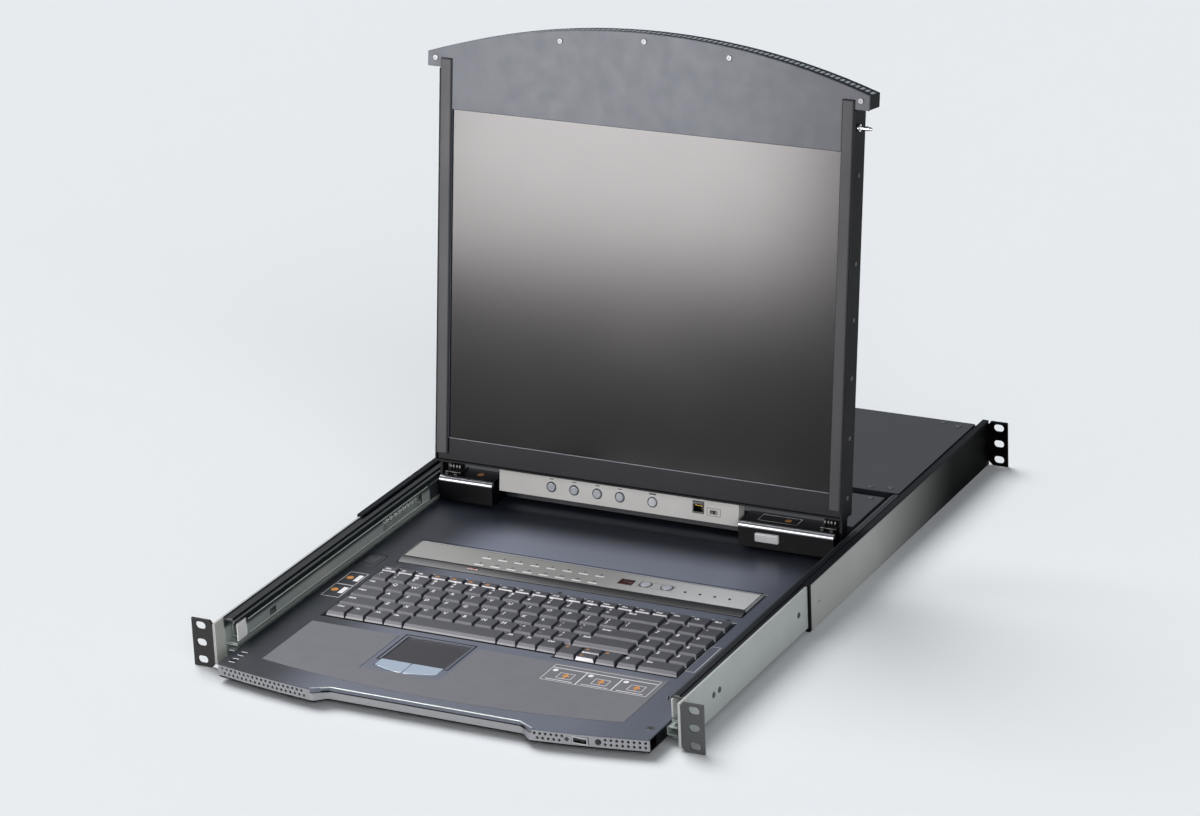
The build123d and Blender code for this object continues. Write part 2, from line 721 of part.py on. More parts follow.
film_edges = [ThreePointArc((palm_left, palm_edge(palm_left), deck_top), (0, palm_apex, deck_top),
                            (palm_right, palm_edge(palm_right), deck_top))]
film_edges.append(Line((palm_right, palm_edge(palm_right), deck_top), (palm_right, palm_rear, deck_top)))
film_edges.append(Line((palm_right, palm_rear, deck_top), (palm_left, palm_rear, deck_top)))
film_edges.append(Line((palm_left, palm_rear, deck_top), (palm_left, palm_edge(palm_left), deck_top)))
film = extrude(make_face(film_edges), amount=palm_film, dir=(0, 0, 1))
film -= block(-86.2, -9.4, 14, 90, -5, -4)
save("palm_film", film)

# Drawer fasteners: the keyboard frame's screws and the lock stud at the right front corner
drawer_screws = []
for x in (-160.0, 1.0, 163.0):
    screw = rod_z(x, 214.0, deck_top - 0.9, deck_top + 0.3, 2.2, 12)
    drawer_screws.append(screw)
stud = rod_z(lock_x, lock_y, deck_top, deck_top + 0.2, 4.0, 16)
stud += rod_z(lock_x, lock_y, deck_low - 1.5, deck_top, 3.0, 16)
drawer_screws.append(stud)
save("drawer_fasteners", *drawer_screws)

catch = Pos(catch_x, catch_y, deck_low - 1.4) * extrude(RectangleRounded(catch_w, catch_l, 4), amount=2.8)
save("drawer_catch", catch)

# Screen carriage: a shallow box with forward arms, two hinge blocks, trims and a release button
body = block(-carriage_half, carriage_half, carriage_front, carriage_rear, carriage_low, carriage_top)
body -= block(-carriage_half + sheet, carriage_half - sheet, carriage_front + sheet, carriage_rear - sheet,
              carriage_low + sheet, carriage_top - sheet)
for side in (-1, 1):
    body += block(side * carriage_half, side * (carriage_half - sheet), arm_front, carriage_front + 1, 0.4, 14.6)
    body -= rod_x(side * (carriage_half - sheet - 1), side * (carriage_half + 1), axis_y, axis_z, hinge_pin_r)
save("carriage_frame", body)


def hinge_block(x0, x1):
    """Return a block whose top front edge is left round for the bright trim."""
    low, high, front, rear = carriage_low, block_top, block_front, carriage_front
    r = block_round
    solid = block(x0, x1, front, rear, low, high)
    solid -= block(x0 - 1, x1 + 1, front - 1, front + r, high - r, high + 1)
    return solid


def block_trim(x0, x1):
    """Return the quarter-round trim along the block's top front edge."""
    r = block_round
    rod = rod_x(x0, x1, block_front + r, block_top - r, r)
    return rod & block(x0, x1, block_front, block_front + r, block_top - r, block_top)


left_block = hinge_block(-block_end, left_block_inner)
right_block = hinge_block(right_block_inner, block_end)
release = (121.8, 144.4, 5.5, 13.5)
right_block -= block(release[0] - 0.4, release[1] + 0.4, block_front - 1, block_front + 9,
                     release[2] - 0.4, release[3] + 0.4)
for side in (-1, 1):
    bore = rod_x(side * (block_end - 14), side * (block_end + 1), axis_y, axis_z, hinge_pin_r)
    left_block -= bore
    right_block -= bore
save("hinge_blocks", left_block, right_block)
save("block_trims", block_trim(-block_end, left_block_inner), block_trim(right_block_inner, block_end))
save("release_button", block(release[0], release[1], block_front - 2.4, block_front + 6, release[2], release[3]))
pins = [rod_x(side * (block_end - 13), side * carriage_half, axis_y, axis_z, hinge_pin_r) for side in (-1, 1)]
save("hinge_pins", *pins)

# Screen lid: every piece is made upright in the lid frame and then leant back by the same turn
lean = Pos(0, axis_y, axis_z) * Rot(-lid_lean, 0, 0)


def lid_box(x0, x1, u0, u1, w0, w1):
    """Return a box in the lid frame."""
    return block(x0, x1, w0, w1, u0, u1)


shell = lid_box(-lid_half, lid_half, lid_bottom, lid_top, lid_face, lid_back)
shell -= lid_box(-lid_half + lid_wall, lid_half - lid_wall, lid_bottom + lid_wall, lid_top - lid_wall,
                 lid_face - 1, lid_back - lid_wall)
for row in range(2):
    for column in range(8):
        x = -154 + column * 44
        u = 70 + row * 250
        shell -= lid_box(x - 15, x + 15, u, u + 3, lid_back - 3, lid_back + 1)
shell -= lid_box(-bar_outer, bar_outer, lid_top - lid_wall - 1, lid_top + 1, lid_face - 1, bezel_face)
save("lid_shell", lean * shell)

bezel_back = bezel_face + lid_wall
inner_half = lid_half - lid_wall
frame_low = lid_bottom + lid_wall
lid_bezel = lid_box(-inner_half, inner_half, frame_low, lid_top - lid_wall, bezel_face, bezel_back)
lid_bezel -= lid_box(-screen_half - 0.3, screen_half + 0.3, screen_low - 0.3, lid_top, bezel_face - 1, bezel_back + 1)
save("lid_bezel", lean * lid_bezel)
panel_back = bezel_back + screen_depth
rim_half = screen_half + screen_rim
panel = lid_box(-screen_half, screen_half, screen_low, screen_high, screen_face, bezel_back)
panel += lid_box(-rim_half, rim_half, screen_low - screen_rim, screen_high + screen_rim, bezel_back, panel_back)
save("lcd_panel", lean * panel)
bars = [lid_box(side * bar_inner, side * bar_outer, bar_low, bar_high, bar_face, bezel_face) for side in (-1, 1)]
save("side_bars", *[lean * bar for bar in bars])


def arch_slab(inset, low, w0, w1):
    """Return the arched handle outline as a slab between two depths of the lid."""
    half = tab_half - inset
    radius = arch_radius - inset
    top = arch_top - inset
    edge = top - radius + math.sqrt(radius ** 2 - half ** 2)
    edges = [Line((-half, w0, low), (half, w0, low)), Line((half, w0, low), (half, w0, edge))]
    edges.append(ThreePointArc((half, w0, edge), (0, w0, top), (-half, w0, edge)))
    edges.append(Line((-half, w0, edge), (-half, w0, low)))
    return extrude(make_face(edges), amount=w1 - w0, dir=(0, 1, 0))


handle = arch_slab(0, tab_low, handle_face, handle_face + lid_wall)
handle += arch_slab(1.0, tab_low, handle_face, handle_back)
handle -= arch_slab(1.0 + lid_wall, tab_low - 1, handle_face + lid_wall, handle_back - lid_wall)
for side in (-1, 1):
    handle += lid_box(side * (lid_half + 0.3), side * (tab_half - 1.0), tab_low, tab_low + lid_wall,
                      handle_face, handle_back)
plate_low = screen_high + 0.3
handle += lid_box(-inner_half + 0.2, inner_half - 0.2, plate_low, tab_low + 2, handle_face, handle_face + lid_wall)
for side in (-1, 1):
    handle -= lid_box(side * (bar_inner - 0.2), side * (bar_outer + 0.2), plate_low - 1, bar_high + 0.2,
                      bar_face - 1, bezel_face)
save("upper_handle", lean * handle)

strip = lid_box(strip_left, strip_right, strip_low, strip_high, strip_face, strip_back)
osd_xs = (-85.6, -62.5, -39.1, -16.3)
power_x = 16.3
socket = (56.3, 67.2, 9.8, 20.7)
switch = (71.3, 82.8, 9.8, 15.0)
for x in osd_xs + (power_x,):
    strip -= rod_y(x, strip_face - 1, strip_face + 5, button_height, button_r + button_clear, button_sides)
strip -= lid_box(socket[0] - 0.3, socket[1] + 0.3, socket[2] - 0.3, socket[3] + 0.3, strip_face - 1, strip_face + 11)
strip -= lid_box(switch[0] + 2, switch[1] - 2, switch[2] + 0.8, switch[3] - 0.8, strip_face - 1, strip_face + 3.2)
strip += lid_box(strip_left + 6, strip_right - 6, strip_high - 0.5, lid_bottom, -4, strip_back)
save("control_strip", lean * strip)


def strip_button(x):
    """Return one round button that stands a little proud of the strip."""
    return lean * rod_y(x, strip_face - 1.2, strip_face + 3.8, button_height, button_r, button_sides)


for number, x in enumerate(osd_xs, 1):
    save("osd_button_" + str(number), strip_button(x))
save("power_button", strip_button(power_x))
jack = lid_box(socket[0], socket[1], socket[2], socket[3], strip_face, strip_face + 10.7)
jack -= lid_box(socket[0] + 0.7, socket[1] - 0.7, socket[2] + 1.2, socket[3] - 3, strip_face - 1, strip_face + 9)
save("modular_socket", lean * jack)
knob_x = (switch[0] + switch[1]) / 2 - 1.4
knob = lid_box(knob_x - 1.7, knob_x + 1.7, switch[2] + 1.1, switch[3] - 1.1, strip_face - 0.6, strip_face + 2.9)
save("recovery_switch", lean * knob)


def hinge_leaf(side):
    """Return one hinge leaf: a round eye on the pin and a foot under the lid."""
    inner = side * (block_end + leaf_gap)
    outer = side * (block_end + leaf_gap + leaf_wall)
    eye = rod_x(inner, outer, 0, 0, 6.0)
    eye += lid_box(inner, outer, 0, lid_bottom - 0.1, -5, 6)
    foot = lid_box(side * (block_end - 11.5), outer, lid_bottom - 2, lid_bottom, -8, 8)
    leaf = eye + foot
    leaf -= rod_x(inner - side, outer + side, 0, 0, hinge_pin_r + pin_clear)
    return leaf


save("hinge_leaves", *[lean * hinge_leaf(side) for side in (-1, 1)])


# Lock pin on the lid's right edge: a collar and a thin rod with a stepped end
lock_u, lock_w = 372.5, -5.5
lock_pin = rod_x(lid_half, lid_half + 2.4, lock_w, lock_u, 3.4, 12)
lock_pin += rod_x(lid_half, pin_end, lock_w, lock_u, 1.7, 10)
lock_pin += rod_x(pin_end, pin_end + 0.9, lock_w, lock_u, 1.1, 10)

lid_screws = []
tab_screw = tab_half - 8
plate_screws = [(-tab_screw, 7.8), (-82.4, 9.1), (0, 7.2), (82.4, 9.1), (tab_screw, 7.8)]
for x, inset in plate_screws:
    u = arch_top - inset - arch_radius + math.sqrt(arch_radius ** 2 - x ** 2)
    lid_screws.append(rod_y(x, handle_face - 0.9, handle_face, u, 2.7, 10))
for side in (-1, 1):
    for u in (42, 96, 150, 202, 252, 330):
        lid_screws.append(rod_x(side * lid_half, side * (lid_half + 0.4), 0, u, 2.0, 8))
save("lid_fasteners", *[lean * piece for piece in [lock_pin] + lid_screws])
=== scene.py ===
"""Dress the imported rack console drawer: finishes, fine detail, studio and camera."""

import json
import logging
import math
from dataclasses import dataclass, field
from enum import Enum

import bpy
from mathutils import Matrix, Vector

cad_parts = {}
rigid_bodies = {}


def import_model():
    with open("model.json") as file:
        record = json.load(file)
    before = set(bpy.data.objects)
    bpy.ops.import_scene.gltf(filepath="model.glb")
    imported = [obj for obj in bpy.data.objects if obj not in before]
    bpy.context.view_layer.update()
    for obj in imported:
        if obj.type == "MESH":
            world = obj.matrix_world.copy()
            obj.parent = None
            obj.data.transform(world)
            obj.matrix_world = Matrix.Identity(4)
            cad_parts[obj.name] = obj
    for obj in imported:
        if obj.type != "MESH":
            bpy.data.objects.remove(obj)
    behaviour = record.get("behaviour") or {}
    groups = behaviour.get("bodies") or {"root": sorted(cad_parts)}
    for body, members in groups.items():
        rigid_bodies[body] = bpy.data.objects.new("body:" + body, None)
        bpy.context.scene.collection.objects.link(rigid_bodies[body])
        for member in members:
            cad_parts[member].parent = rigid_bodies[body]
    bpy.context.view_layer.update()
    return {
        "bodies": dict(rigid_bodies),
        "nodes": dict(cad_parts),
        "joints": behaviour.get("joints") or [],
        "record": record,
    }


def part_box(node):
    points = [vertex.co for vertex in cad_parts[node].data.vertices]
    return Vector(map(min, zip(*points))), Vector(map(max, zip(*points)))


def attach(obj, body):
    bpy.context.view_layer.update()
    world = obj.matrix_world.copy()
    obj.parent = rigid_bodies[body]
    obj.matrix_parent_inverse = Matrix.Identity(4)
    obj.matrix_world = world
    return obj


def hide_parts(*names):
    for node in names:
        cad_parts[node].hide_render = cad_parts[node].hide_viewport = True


LOG = logging.getLogger("console_drawer")
MM = 0.001
LID_LEAN = math.radians(7.92)  # how far the open lid leans back from upright
PRINT_MM = 0.05  # the thickness of a printed mark
SHARP = 35.0  # edges steeper than this many degrees stay sharp
ROUGH_SWING = 0.12  # how far mottling moves a finish's roughness, as a share
BUMP_STRENGTH = 0.6
MIX_SHARE, MIX_FIRST, MIX_SECOND, MIX_RESULT = 0, 6, 7, 2  # a colour mix node's sockets

Piece = bpy.types.Object
Tree = bpy.types.NodeTree
Socket = bpy.types.NodeSocket
Point = tuple[float, float, float]
Seat = tuple[Vector, Vector, float]


def linear(hex_colour: str) -> tuple[float, float, float, float]:
    """Turn an sRGB hex colour into linear light.

    Args:
        hex_colour: the colour as #RRGGBB.

    Returns:
        Red, green, blue and alpha from 0 to 1.
    """
    parts = [int(hex_colour[i:i + 2], 16) / 255 for i in (1, 3, 5)]
    light = [c / 12.92 if c <= 0.04045 else ((c + 0.055) / 1.055) ** 2.4 for c in parts]
    return (light[0], light[1], light[2], 1.0)


def add_node(tree: Tree, kind: str, settings: dict[str, object] | None = None,
             links: dict[str, Socket] | None = None) -> bpy.types.Node:
    """Add one shader node with its settings and links.

    Args:
        tree: the material's or world's node tree.
        kind: the node's type, without the word ShaderNode.
        settings: values by attribute name or by input name.
        links: the sockets that feed its inputs, by input name.

    Returns:
        The new node.
    """
    node = tree.nodes.new("ShaderNode" + kind)
    for name, value in (settings or {}).items():
        if name in node.inputs:
            node.inputs[name].default_value = value
        else:
            setattr(node, name, value)
    for name, socket in (links or {}).items():
        tree.links.new(socket, node.inputs[name])
    return node


class Axis(Enum):
    """A direction of the shared frame."""

    X = "X"
    Y = "Y"
    Z = "Z"


@dataclass(frozen=True)
class Zone:
    """A second tone that takes over along one axis of the piece.

    Attributes:
        axis: the axis that the change runs along.
        start: where the first tone ends, in millimetres.
        end: where the second tone is complete, in millimetres.
        colour: the second tone.
        mirrored: whether both sides of the middle plane change alike.
    """

    axis: Axis
    start: float
    end: float
    colour: str
    mirrored: bool = False


@dataclass(frozen=True)
class Finish:
    """One real surface, made as a node material.

    Attributes:
        name: the material's plain name.
        colour: its main tone.
        shade: the tone that its mottling reaches.
        roughness: how much it blurs what it reflects.
        metallic: 1 for bare metal.
        ior: the refractive index of paint, plastic or glass.
        grain_mm: the size of its fine texture.
        grain_depth: the height of that texture in millimetres.
        mottle_mm: the size of its slow tone changes.
        stretch: how much longer the grain is along each axis.
        coat: the strength of a clear coat.
        coat_roughness: how much the coat blurs.
        specular: the strength of its plain reflection.
        zones: further tones by place.
    """

    name: str
    colour: str
    shade: str
    roughness: float
    metallic: float = 0.0
    ior: float = 1.5
    grain_mm: float = 1.6
    grain_depth: float = 0.02
    mottle_mm: float = 60.0
    stretch: Point = (1.0, 1.0, 1.0)
    coat: float = 0.0
    coat_roughness: float = 0.1
    specular: float = 0.5
    zones: tuple[Zone, ...] = ()

    def build(self) -> bpy.types.Material:
        """Make the material, or return it where it exists.

        Returns:
            The material with its node tree.
        """
        found = bpy.data.materials.get(self.name)
        if found:
            return found
        material = bpy.data.materials.new(self.name)
        material.use_nodes = True
        tree = material.node_tree
        tree.nodes.clear()
        place = add_node(tree, "TexCoord").outputs["Object"]
        scale = tuple(1 / s for s in self.stretch)
        spot = add_node(tree, "Mapping", {"Scale": scale}, {"Vector": place}).outputs["Vector"]
        slow, fine = (add_node(tree, "TexNoise", {"Scale": 1 / (size * MM), "Detail": detail},
                               {"Vector": spot}).outputs["Fac"]
                      for size, detail in ((self.mottle_mm, 3.0), (self.grain_mm, 2.0)))
        mix = add_node(tree, "Mix", {"data_type": "RGBA"})
        mix.inputs[MIX_FIRST].default_value = linear(self.colour)
        mix.inputs[MIX_SECOND].default_value = linear(self.shade)
        tree.links.new(slow, mix.inputs[MIX_SHARE])
        tone = mix.outputs[MIX_RESULT]
        for zone in self.zones:
            tone = self._zoned(tree, place, tone, zone)
        bump = add_node(tree, "Bump", {"Strength": BUMP_STRENGTH, "Distance": self.grain_depth * MM},
                        {"Height": fine}).outputs["Normal"]
        rough = add_node(tree, "MapRange", {"To Min": self.roughness * (1 - ROUGH_SWING),
                                            "To Max": self.roughness * (1 + ROUGH_SWING)},
                         {"Value": slow}).outputs["Result"]
        settings = {"Metallic": self.metallic, "Coat Weight": self.coat,
                    "Coat Roughness": self.coat_roughness, "Specular IOR Level": self.specular}
        if self.metallic == 0.0:
            settings["IOR"] = self.ior
        shader = add_node(tree, "BsdfPrincipled", settings,
                          {"Base Color": tone, "Roughness": rough, "Normal": bump})
        add_node(tree, "OutputMaterial", {}, {"Surface": shader.outputs["BSDF"]})
        return material

    @staticmethod
    def _zoned(tree: Tree, place: Socket, tone: Socket,
               zone: Zone) -> Socket:
        """Mix a zone's tone over the tone so far.

        Args:
            tree: the material's node tree.
            place: the object coordinates.
            tone: the colour so far.
            zone: the zone to add.

        Returns:
            The mixed colour.
        """
        along = add_node(tree, "SeparateXYZ", {}, {"Vector": place}).outputs[zone.axis.value]
        if zone.mirrored:
            along = add_node(tree, "Math", {"operation": "ABSOLUTE"}, {"Value": along}).outputs["Value"]
        share = add_node(tree, "MapRange", {"From Min": zone.start * MM, "From Max": zone.end * MM,
                                            "interpolation_type": "SMOOTHSTEP"},
                         {"Value": along}).outputs["Result"]
        mix = add_node(tree, "Mix", {"data_type": "RGBA"})
        mix.inputs[MIX_SECOND].default_value = linear(zone.colour)
        tree.links.new(share, mix.inputs[MIX_SHARE])
        tree.links.new(tone, mix.inputs[MIX_FIRST])
        return mix.outputs[MIX_RESULT]


class Finishes:
    """Every finish on the console drawer; several carry painted shade, sheen and reflection in their tones.
    """

    # Powder-coated steel, slate: a fine orange-peel skin, with painted light in its tones: a lighter band of
    # painted sheen toward the back, painted shade and dark reflection toward both sides, and painted shade at
    # the very back where the lid shades it
    deck = Finish("slate_powder_coat", "#6C7180", "#636876", 0.36, grain_mm=1.4,
                  zones=(Zone(Axis.Y, 215.0, 275.0, "#868C9D"), Zone(Axis.X, -90.0, -160.0, "#1C212B"),
                         Zone(Axis.X, 120.0, 190.0, "#575C69"),
                         Zone(Axis.Y, 302.0, 350.0, "#242833")))
    # The handle plate: darker toward the right, a painted shade
    lid_plate = Finish("slate_enamel_handle", "#737882", "#686D78", 0.42, mottle_mm=16.0, specular=0.18,
                       zones=(Zone(Axis.X, 40.0, 230.0, "#50535C"),))
    bezel = Finish("dark_slate_enamel", "#171A24", "#13161F", 0.42, specular=0.1)
    # The side bars: the right one darker, a painted shade
    side_bar = Finish("charcoal_rubbered_bar", "#535356", "#4A4A4D", 0.5, specular=0.2,
                      zones=(Zone(Axis.X, 0.0, 190.0, "#3C3C3F"),))
    shell = Finish("charcoal_powder_coat", "#0D0F11", "#0A0B0D", 0.55, grain_depth=0.03, specular=0.1)
    cover = Finish("slate_cover_coat", "#2F3238", "#292C32", 0.5, grain_depth=0.03, specular=0.3)
    # Grey zinc-coated rails with a dark flange and black ears; painted dark reflection darkens them to black
    # toward the rear, and a painted reflection lightens the right ear to grey
    rail = Finish("grey_rail_coat", "#B8BEBC", "#ABB1AF", 0.42, grain_mm=1.2, mottle_mm=35.0, specular=0.3,
                  zones=(Zone(Axis.Y, 250.0, 640.0, "#131312"), Zone(Axis.X, 218.4, 217.9, "#11141B", True),
                         Zone(Axis.Z, 20.9, 21.5, "#2B2F38"),
                         Zone(Axis.Y, 14.3, 13.6, "#C4C5C0"), Zone(Axis.X, 220.2, 220.6, "#4A4C4D"),
                         Zone(Axis.X, -220.2, -220.6, "#0C0C0D")))
    # The rear brackets: a grey coat, black at the front edge and dark on top; painted dark reflection darkens
    # them to black toward the rear
    sleeve = Finish("grey_bracket_coat_painted_dark_reflection", "#B4B6B3", "#A5A7A4", 0.55, grain_mm=1.2, specular=0.05,
                    zones=(Zone(Axis.Y, 335.0, 585.0, "#030303"), Zone(Axis.Y, 256.4, 255.6, "#0D0D0E"),
                           Zone(Axis.Z, 20.2, 20.6, "#1C1E22")))
    # Cold-rolled zinc-plated steel: bright, drawn along its length; painted shade darkens its upper part
    # under the top lip
    zinc = Finish("drawn_zinc_steel", "#C6D0CC", "#98A29E", 0.4, metallic=0.3, grain_mm=0.9,
                  grain_depth=0.015, mottle_mm=26.0, stretch=(1.0, 9.0, 1.0),
                  zones=(Zone(Axis.Z, 8.0, 12.5, "#3A4241"),))
    # The ball cages and the slides' open lips: zinc painted brighter than the drawn walls, a painted
    # highlight that also lifts the cages out of the shade behind the slides' windows
    lip = Finish("zinc_lip_painted_light", "#E2EAE6", "#C6CFCA", 0.35, metallic=0.1, grain_mm=0.9,
                 mottle_mm=14.0)
    chrome = Finish("bright_nickel", "#D5D6D8", "#C2C4C6", 0.18, metallic=1.0, grain_depth=0.004)
    screw = Finish("screw_steel", "#5F6062", "#505153", 0.42, metallic=0.7, grain_depth=0.01)
    # Silver-painted sheet and printed film: metallic flake under lacquer
    silver = Finish("silver_front_lacquer", "#A0A1A4", "#949598", 0.5, grain_mm=0.8)
    strip = Finish("silver_panel_film", "#D3D2CE", "#C5C4C0", 0.45, grain_mm=0.9, mottle_mm=40.0)
    # The status film: lighter toward the right, a painted sheen, and dark along its front edge
    status = Finish("silver_status_film", "#9B9B99", "#8F8F8D", 0.42, grain_mm=0.9,
                    mottle_mm=90.0,
                    zones=(Zone(Axis.X, 0.0, 150.0, "#CFD0D2"), Zone(Axis.Y, 233.6, 232.8, "#16181D")))
    # Films and lacquers that the hands touch: a soft grain, or a clear coat that keeps a small highlight
    palm = Finish("grey_palm_film", "#6C6D74", "#606168", 0.55, grain_mm=1.1, grain_depth=0.06,
                  mottle_mm=22.0)
    touch = Finish("touchpad_film", "#2F2F36", "#2A2A30", 0.5, grain_mm=0.8, specular=0.3)
    touch_button = Finish("pale_blue_lacquer", "#B3C2D4", "#A3B3C6", 0.25, coat=0.4, coat_roughness=0.12)
    # Moulded key caps: a fine matt grain on top
    key = Finish("charcoal_abs_keycap", "#44454C", "#3E3F46", 0.45, grain_mm=0.9, grain_depth=0.03)
    # The same caps' front skirts: smoother than their tops, and a lighter tone of painted light, brightest as
    # a painted highlight at the lower lip
    skirt = Finish("abs_keycap_skirt_painted_light", "#85868D", "#7B7C83", 0.3, grain_mm=0.9, grain_depth=0.01,
                   zones=(Zone(Axis.Z, -4.0, -4.5, "#A9AAB0"),))
    # Printed marks: flat and even
    legend = Finish("white_key_print", "#F2F2F4", "#E9E9EC", 0.5, grain_depth=0.004)
    amber = Finish("amber_label_print", "#D9923A", "#CB852F", 0.5, grain_depth=0.004)
    ink = Finish("black_panel_print", "#26272B", "#202125", 0.5, grain_depth=0.004)
    # Moulded and lacquered small parts, from black plastic to pale buttons
    block = Finish("navy_black_abs", "#06070C", "#05060A", 0.42, grain_mm=1.0, specular=0.08)
    black = Finish("black_abs", "#121316", "#0E0F12", 0.38, grain_mm=1.0, specular=0.35)
    edge_trim = Finish("satin_trim_edge", "#77797D", "#6B6D71", 0.3, metallic=0.6, grain_depth=0.004)
    release = Finish("silver_release_lacquer", "#F0F0F0", "#E4E4E4", 0.35)
    nylon = Finish("white_nylon", "#FCFCFC", "#F4F4F4", 0.45)
    grey_button = Finish("grey_lacquered_button", "#8D96A1", "#818A95", 0.35, coat=0.3, coat_roughness=0.15)
    pale_button = Finish("pale_lacquered_button", "#BFC2CC", "#B3B6C0", 0.35, coat=0.3, coat_roughness=0.15)
    # The switched-off screen: a near-black sheet that mirrors softly
    screen = Finish("matt_screen_polariser", "#080706", "#070605", 0.17, ior=1.52, grain_depth=0.002,
                    mottle_mm=120.0, specular=0.16)
    # Electronics: solder mask, gilt contacts, lamp lenses under a gloss, port plastic
    board = Finish("green_circuit_board", "#1E4A30", "#183E27", 0.4)
    gold = Finish("gilt_contact", "#C9A04A", "#B98F3C", 0.25, metallic=1.0)
    lamp_red = Finish("red_lamp_lens", "#7A1510", "#6A110D", 0.2, coat=0.6)
    lamp_dark = Finish("smoked_lamp_lens", "#1C1A1A", "#171516", 0.2, coat=0.6)
    insulator = Finish("blue_port_insulator", "#27418A", "#223A7C", 0.4)


def fresh() -> None:
    """Leave edit mode and deselect everything."""
    if bpy.context.object and bpy.context.object.mode != "OBJECT":
        bpy.ops.object.mode_set(mode="OBJECT")
    bpy.ops.object.select_all(action="DESELECT")


def take(piece: Piece) -> None:
    """Select one piece alone and make it active."""
    fresh()
    piece.select_set(True)
    bpy.context.view_layer.objects.active = piece


def settle(piece: Piece) -> None:
    """Apply a piece's place, turn and size to its mesh."""
    take(piece)
    bpy.ops.object.transform_apply(location=True, rotation=True, scale=True)


def bevel(piece: Piece, width_mm: float, segments: int = 2, angle: float = 30.0) -> None:
    """Round a piece's hard edges.

    Args:
        piece: the piece.
        width_mm: how wide the rounding is.
        segments: its steps.
        angle: edges flatter than this stay as they are, in degrees.
    """
    take(piece)
    modifier = piece.modifiers.new("edge", "BEVEL")
    modifier.width = width_mm * MM
    modifier.segments = segments
    modifier.limit_method = "ANGLE"
    modifier.angle_limit = math.radians(angle)
    modifier.use_clamp_overlap = True
    bpy.ops.object.modifier_apply(modifier="edge")


def smooth(piece: Piece, angle: float = SHARP) -> None:
    """Shade a piece smooth; its flat faces stay flat.

    Args:
        piece: the piece.
        angle: edges steeper than this stay sharp, in degrees.
    """
    take(piece)
    bpy.ops.object.shade_smooth_by_angle(angle=math.radians(angle))
    level = piece.modifiers.new("level", "WEIGHTED_NORMAL")
    level.keep_sharp = True
    bpy.ops.object.modifier_apply(modifier="level")


def box(name: str, low: Point, high: Point, edge_mm: float = 0.0) -> Piece:
    """Model a block between two corners, in millimetres.

    Args:
        name: the piece's name.
        low: its lowest corner.
        high: its highest corner.
        edge_mm: how wide its edges are rounded.

    Returns:
        The new piece.
    """
    fresh()
    centre = [(a + b) / 2 * MM for a, b in zip(low, high)]
    bpy.ops.mesh.primitive_cube_add(size=1, location=centre)
    piece = bpy.context.object
    piece.name = name
    piece.scale = [abs(b - a) * MM for a, b in zip(low, high)]
    settle(piece)
    if edge_mm:
        bevel(piece, edge_mm)
    return piece


def disc(name: str, centre: Point, radius: float, height: float, axis: Axis = Axis.Z,
         sides: int = 24, edge_mm: float = 0.0) -> Piece:
    """Model a round boss, in millimetres, centred on a point.

    Args:
        name: the piece's name.
        centre: its middle.
        radius: its radius.
        height: its length along its axis.
        axis: the axis that it stands on.
        sides: its facets.
        edge_mm: how wide its rims are rounded.

    Returns:
        The new piece.
    """
    fresh()
    turn = {Axis.X: (0, math.pi / 2, 0), Axis.Y: (math.pi / 2, 0, 0), Axis.Z: (0, 0, 0)}[axis]
    bpy.ops.mesh.primitive_cylinder_add(vertices=sides, radius=radius * MM, depth=height * MM,
                                        location=[c * MM for c in centre], rotation=turn)
    piece = bpy.context.object
    piece.name = name
    settle(piece)
    if edge_mm:
        bevel(piece, edge_mm, 2, 50)
    return piece


def joined(name: str, pieces: list[Piece]) -> Piece:
    """Join several pieces into one.

    Args:
        name: the new name.
        pieces: the pieces, at least one.

    Returns:
        The joined piece.
    """
    fresh()
    for piece in pieces:
        piece.select_set(True)
    bpy.context.view_layer.objects.active = pieces[0]
    if len(pieces) > 1:
        bpy.ops.object.join()
    pieces[0].name = name
    settle(pieces[0])
    return pieces[0]


def twin(piece: Piece, place: Matrix) -> Piece:
    """Copy a piece with its own mesh and put the copy elsewhere.

    Args:
        piece: the piece.
        place: the copy's place and turn.

    Returns:
        The copy.
    """
    take(piece)
    bpy.ops.object.duplicate(linked=False)
    copy = bpy.context.object
    copy.matrix_world = place @ copy.matrix_world
    settle(copy)
    return copy


def paint(piece: Piece, finish: Finish) -> None:
    """Give a piece one finish all over."""
    piece.data.materials.clear()
    piece.data.materials.append(finish.build())


def letters(name: str, text: str, height_mm: float, place: Matrix) -> Piece:
    """Model flat lettering, centred on a place.

    Args:
        name: the piece's name.
        text: what it says.
        height_mm: the size of its letters.
        place: its place and turn.

    Returns:
        The lettering as a mesh.
    """
    fresh()
    bpy.ops.object.text_add()
    bpy.context.object.name = name
    curve = bpy.context.object.data
    curve.body = text
    curve.size = height_mm * MM
    curve.align_x = curve.align_y = "CENTER"
    curve.extrude, curve.offset = 0.03 * MM, 0.14 * MM
    curve.resolution_u = 2
    bpy.ops.object.convert(target="MESH")
    piece = bpy.context.object
    piece.matrix_world = place
    settle(piece)
    return piece


def span(node: str) -> list[Vector]:
    """Return a CAD node's lowest and highest corner, in millimetres."""
    return [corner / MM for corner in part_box(node)]


def at(x: float, y: float, z: float) -> Matrix:
    """Return the place of a point given in millimetres."""
    return Matrix.Translation(Vector((x, y, z)) * MM)


def bar(x0: float, y0: float, x1: float, y1: float, z: float) -> Piece:
    """Model a flat printed bar between two corners."""
    return box("bar", (x0, y0, z), (x1, y1, z + PRINT_MM))


def outline(x0: float, y0: float, x1: float, y1: float, z: float, width: float = 0.45) -> list[Piece]:
    """Model a printed rectangle's four lines."""
    return [bar(x0, y0, x1, y0 + width, z), bar(x0, y1 - width, x1, y1, z),
            bar(x0, y0, x0 + width, y1, z), bar(x1 - width, y0, x1, y1, z)]


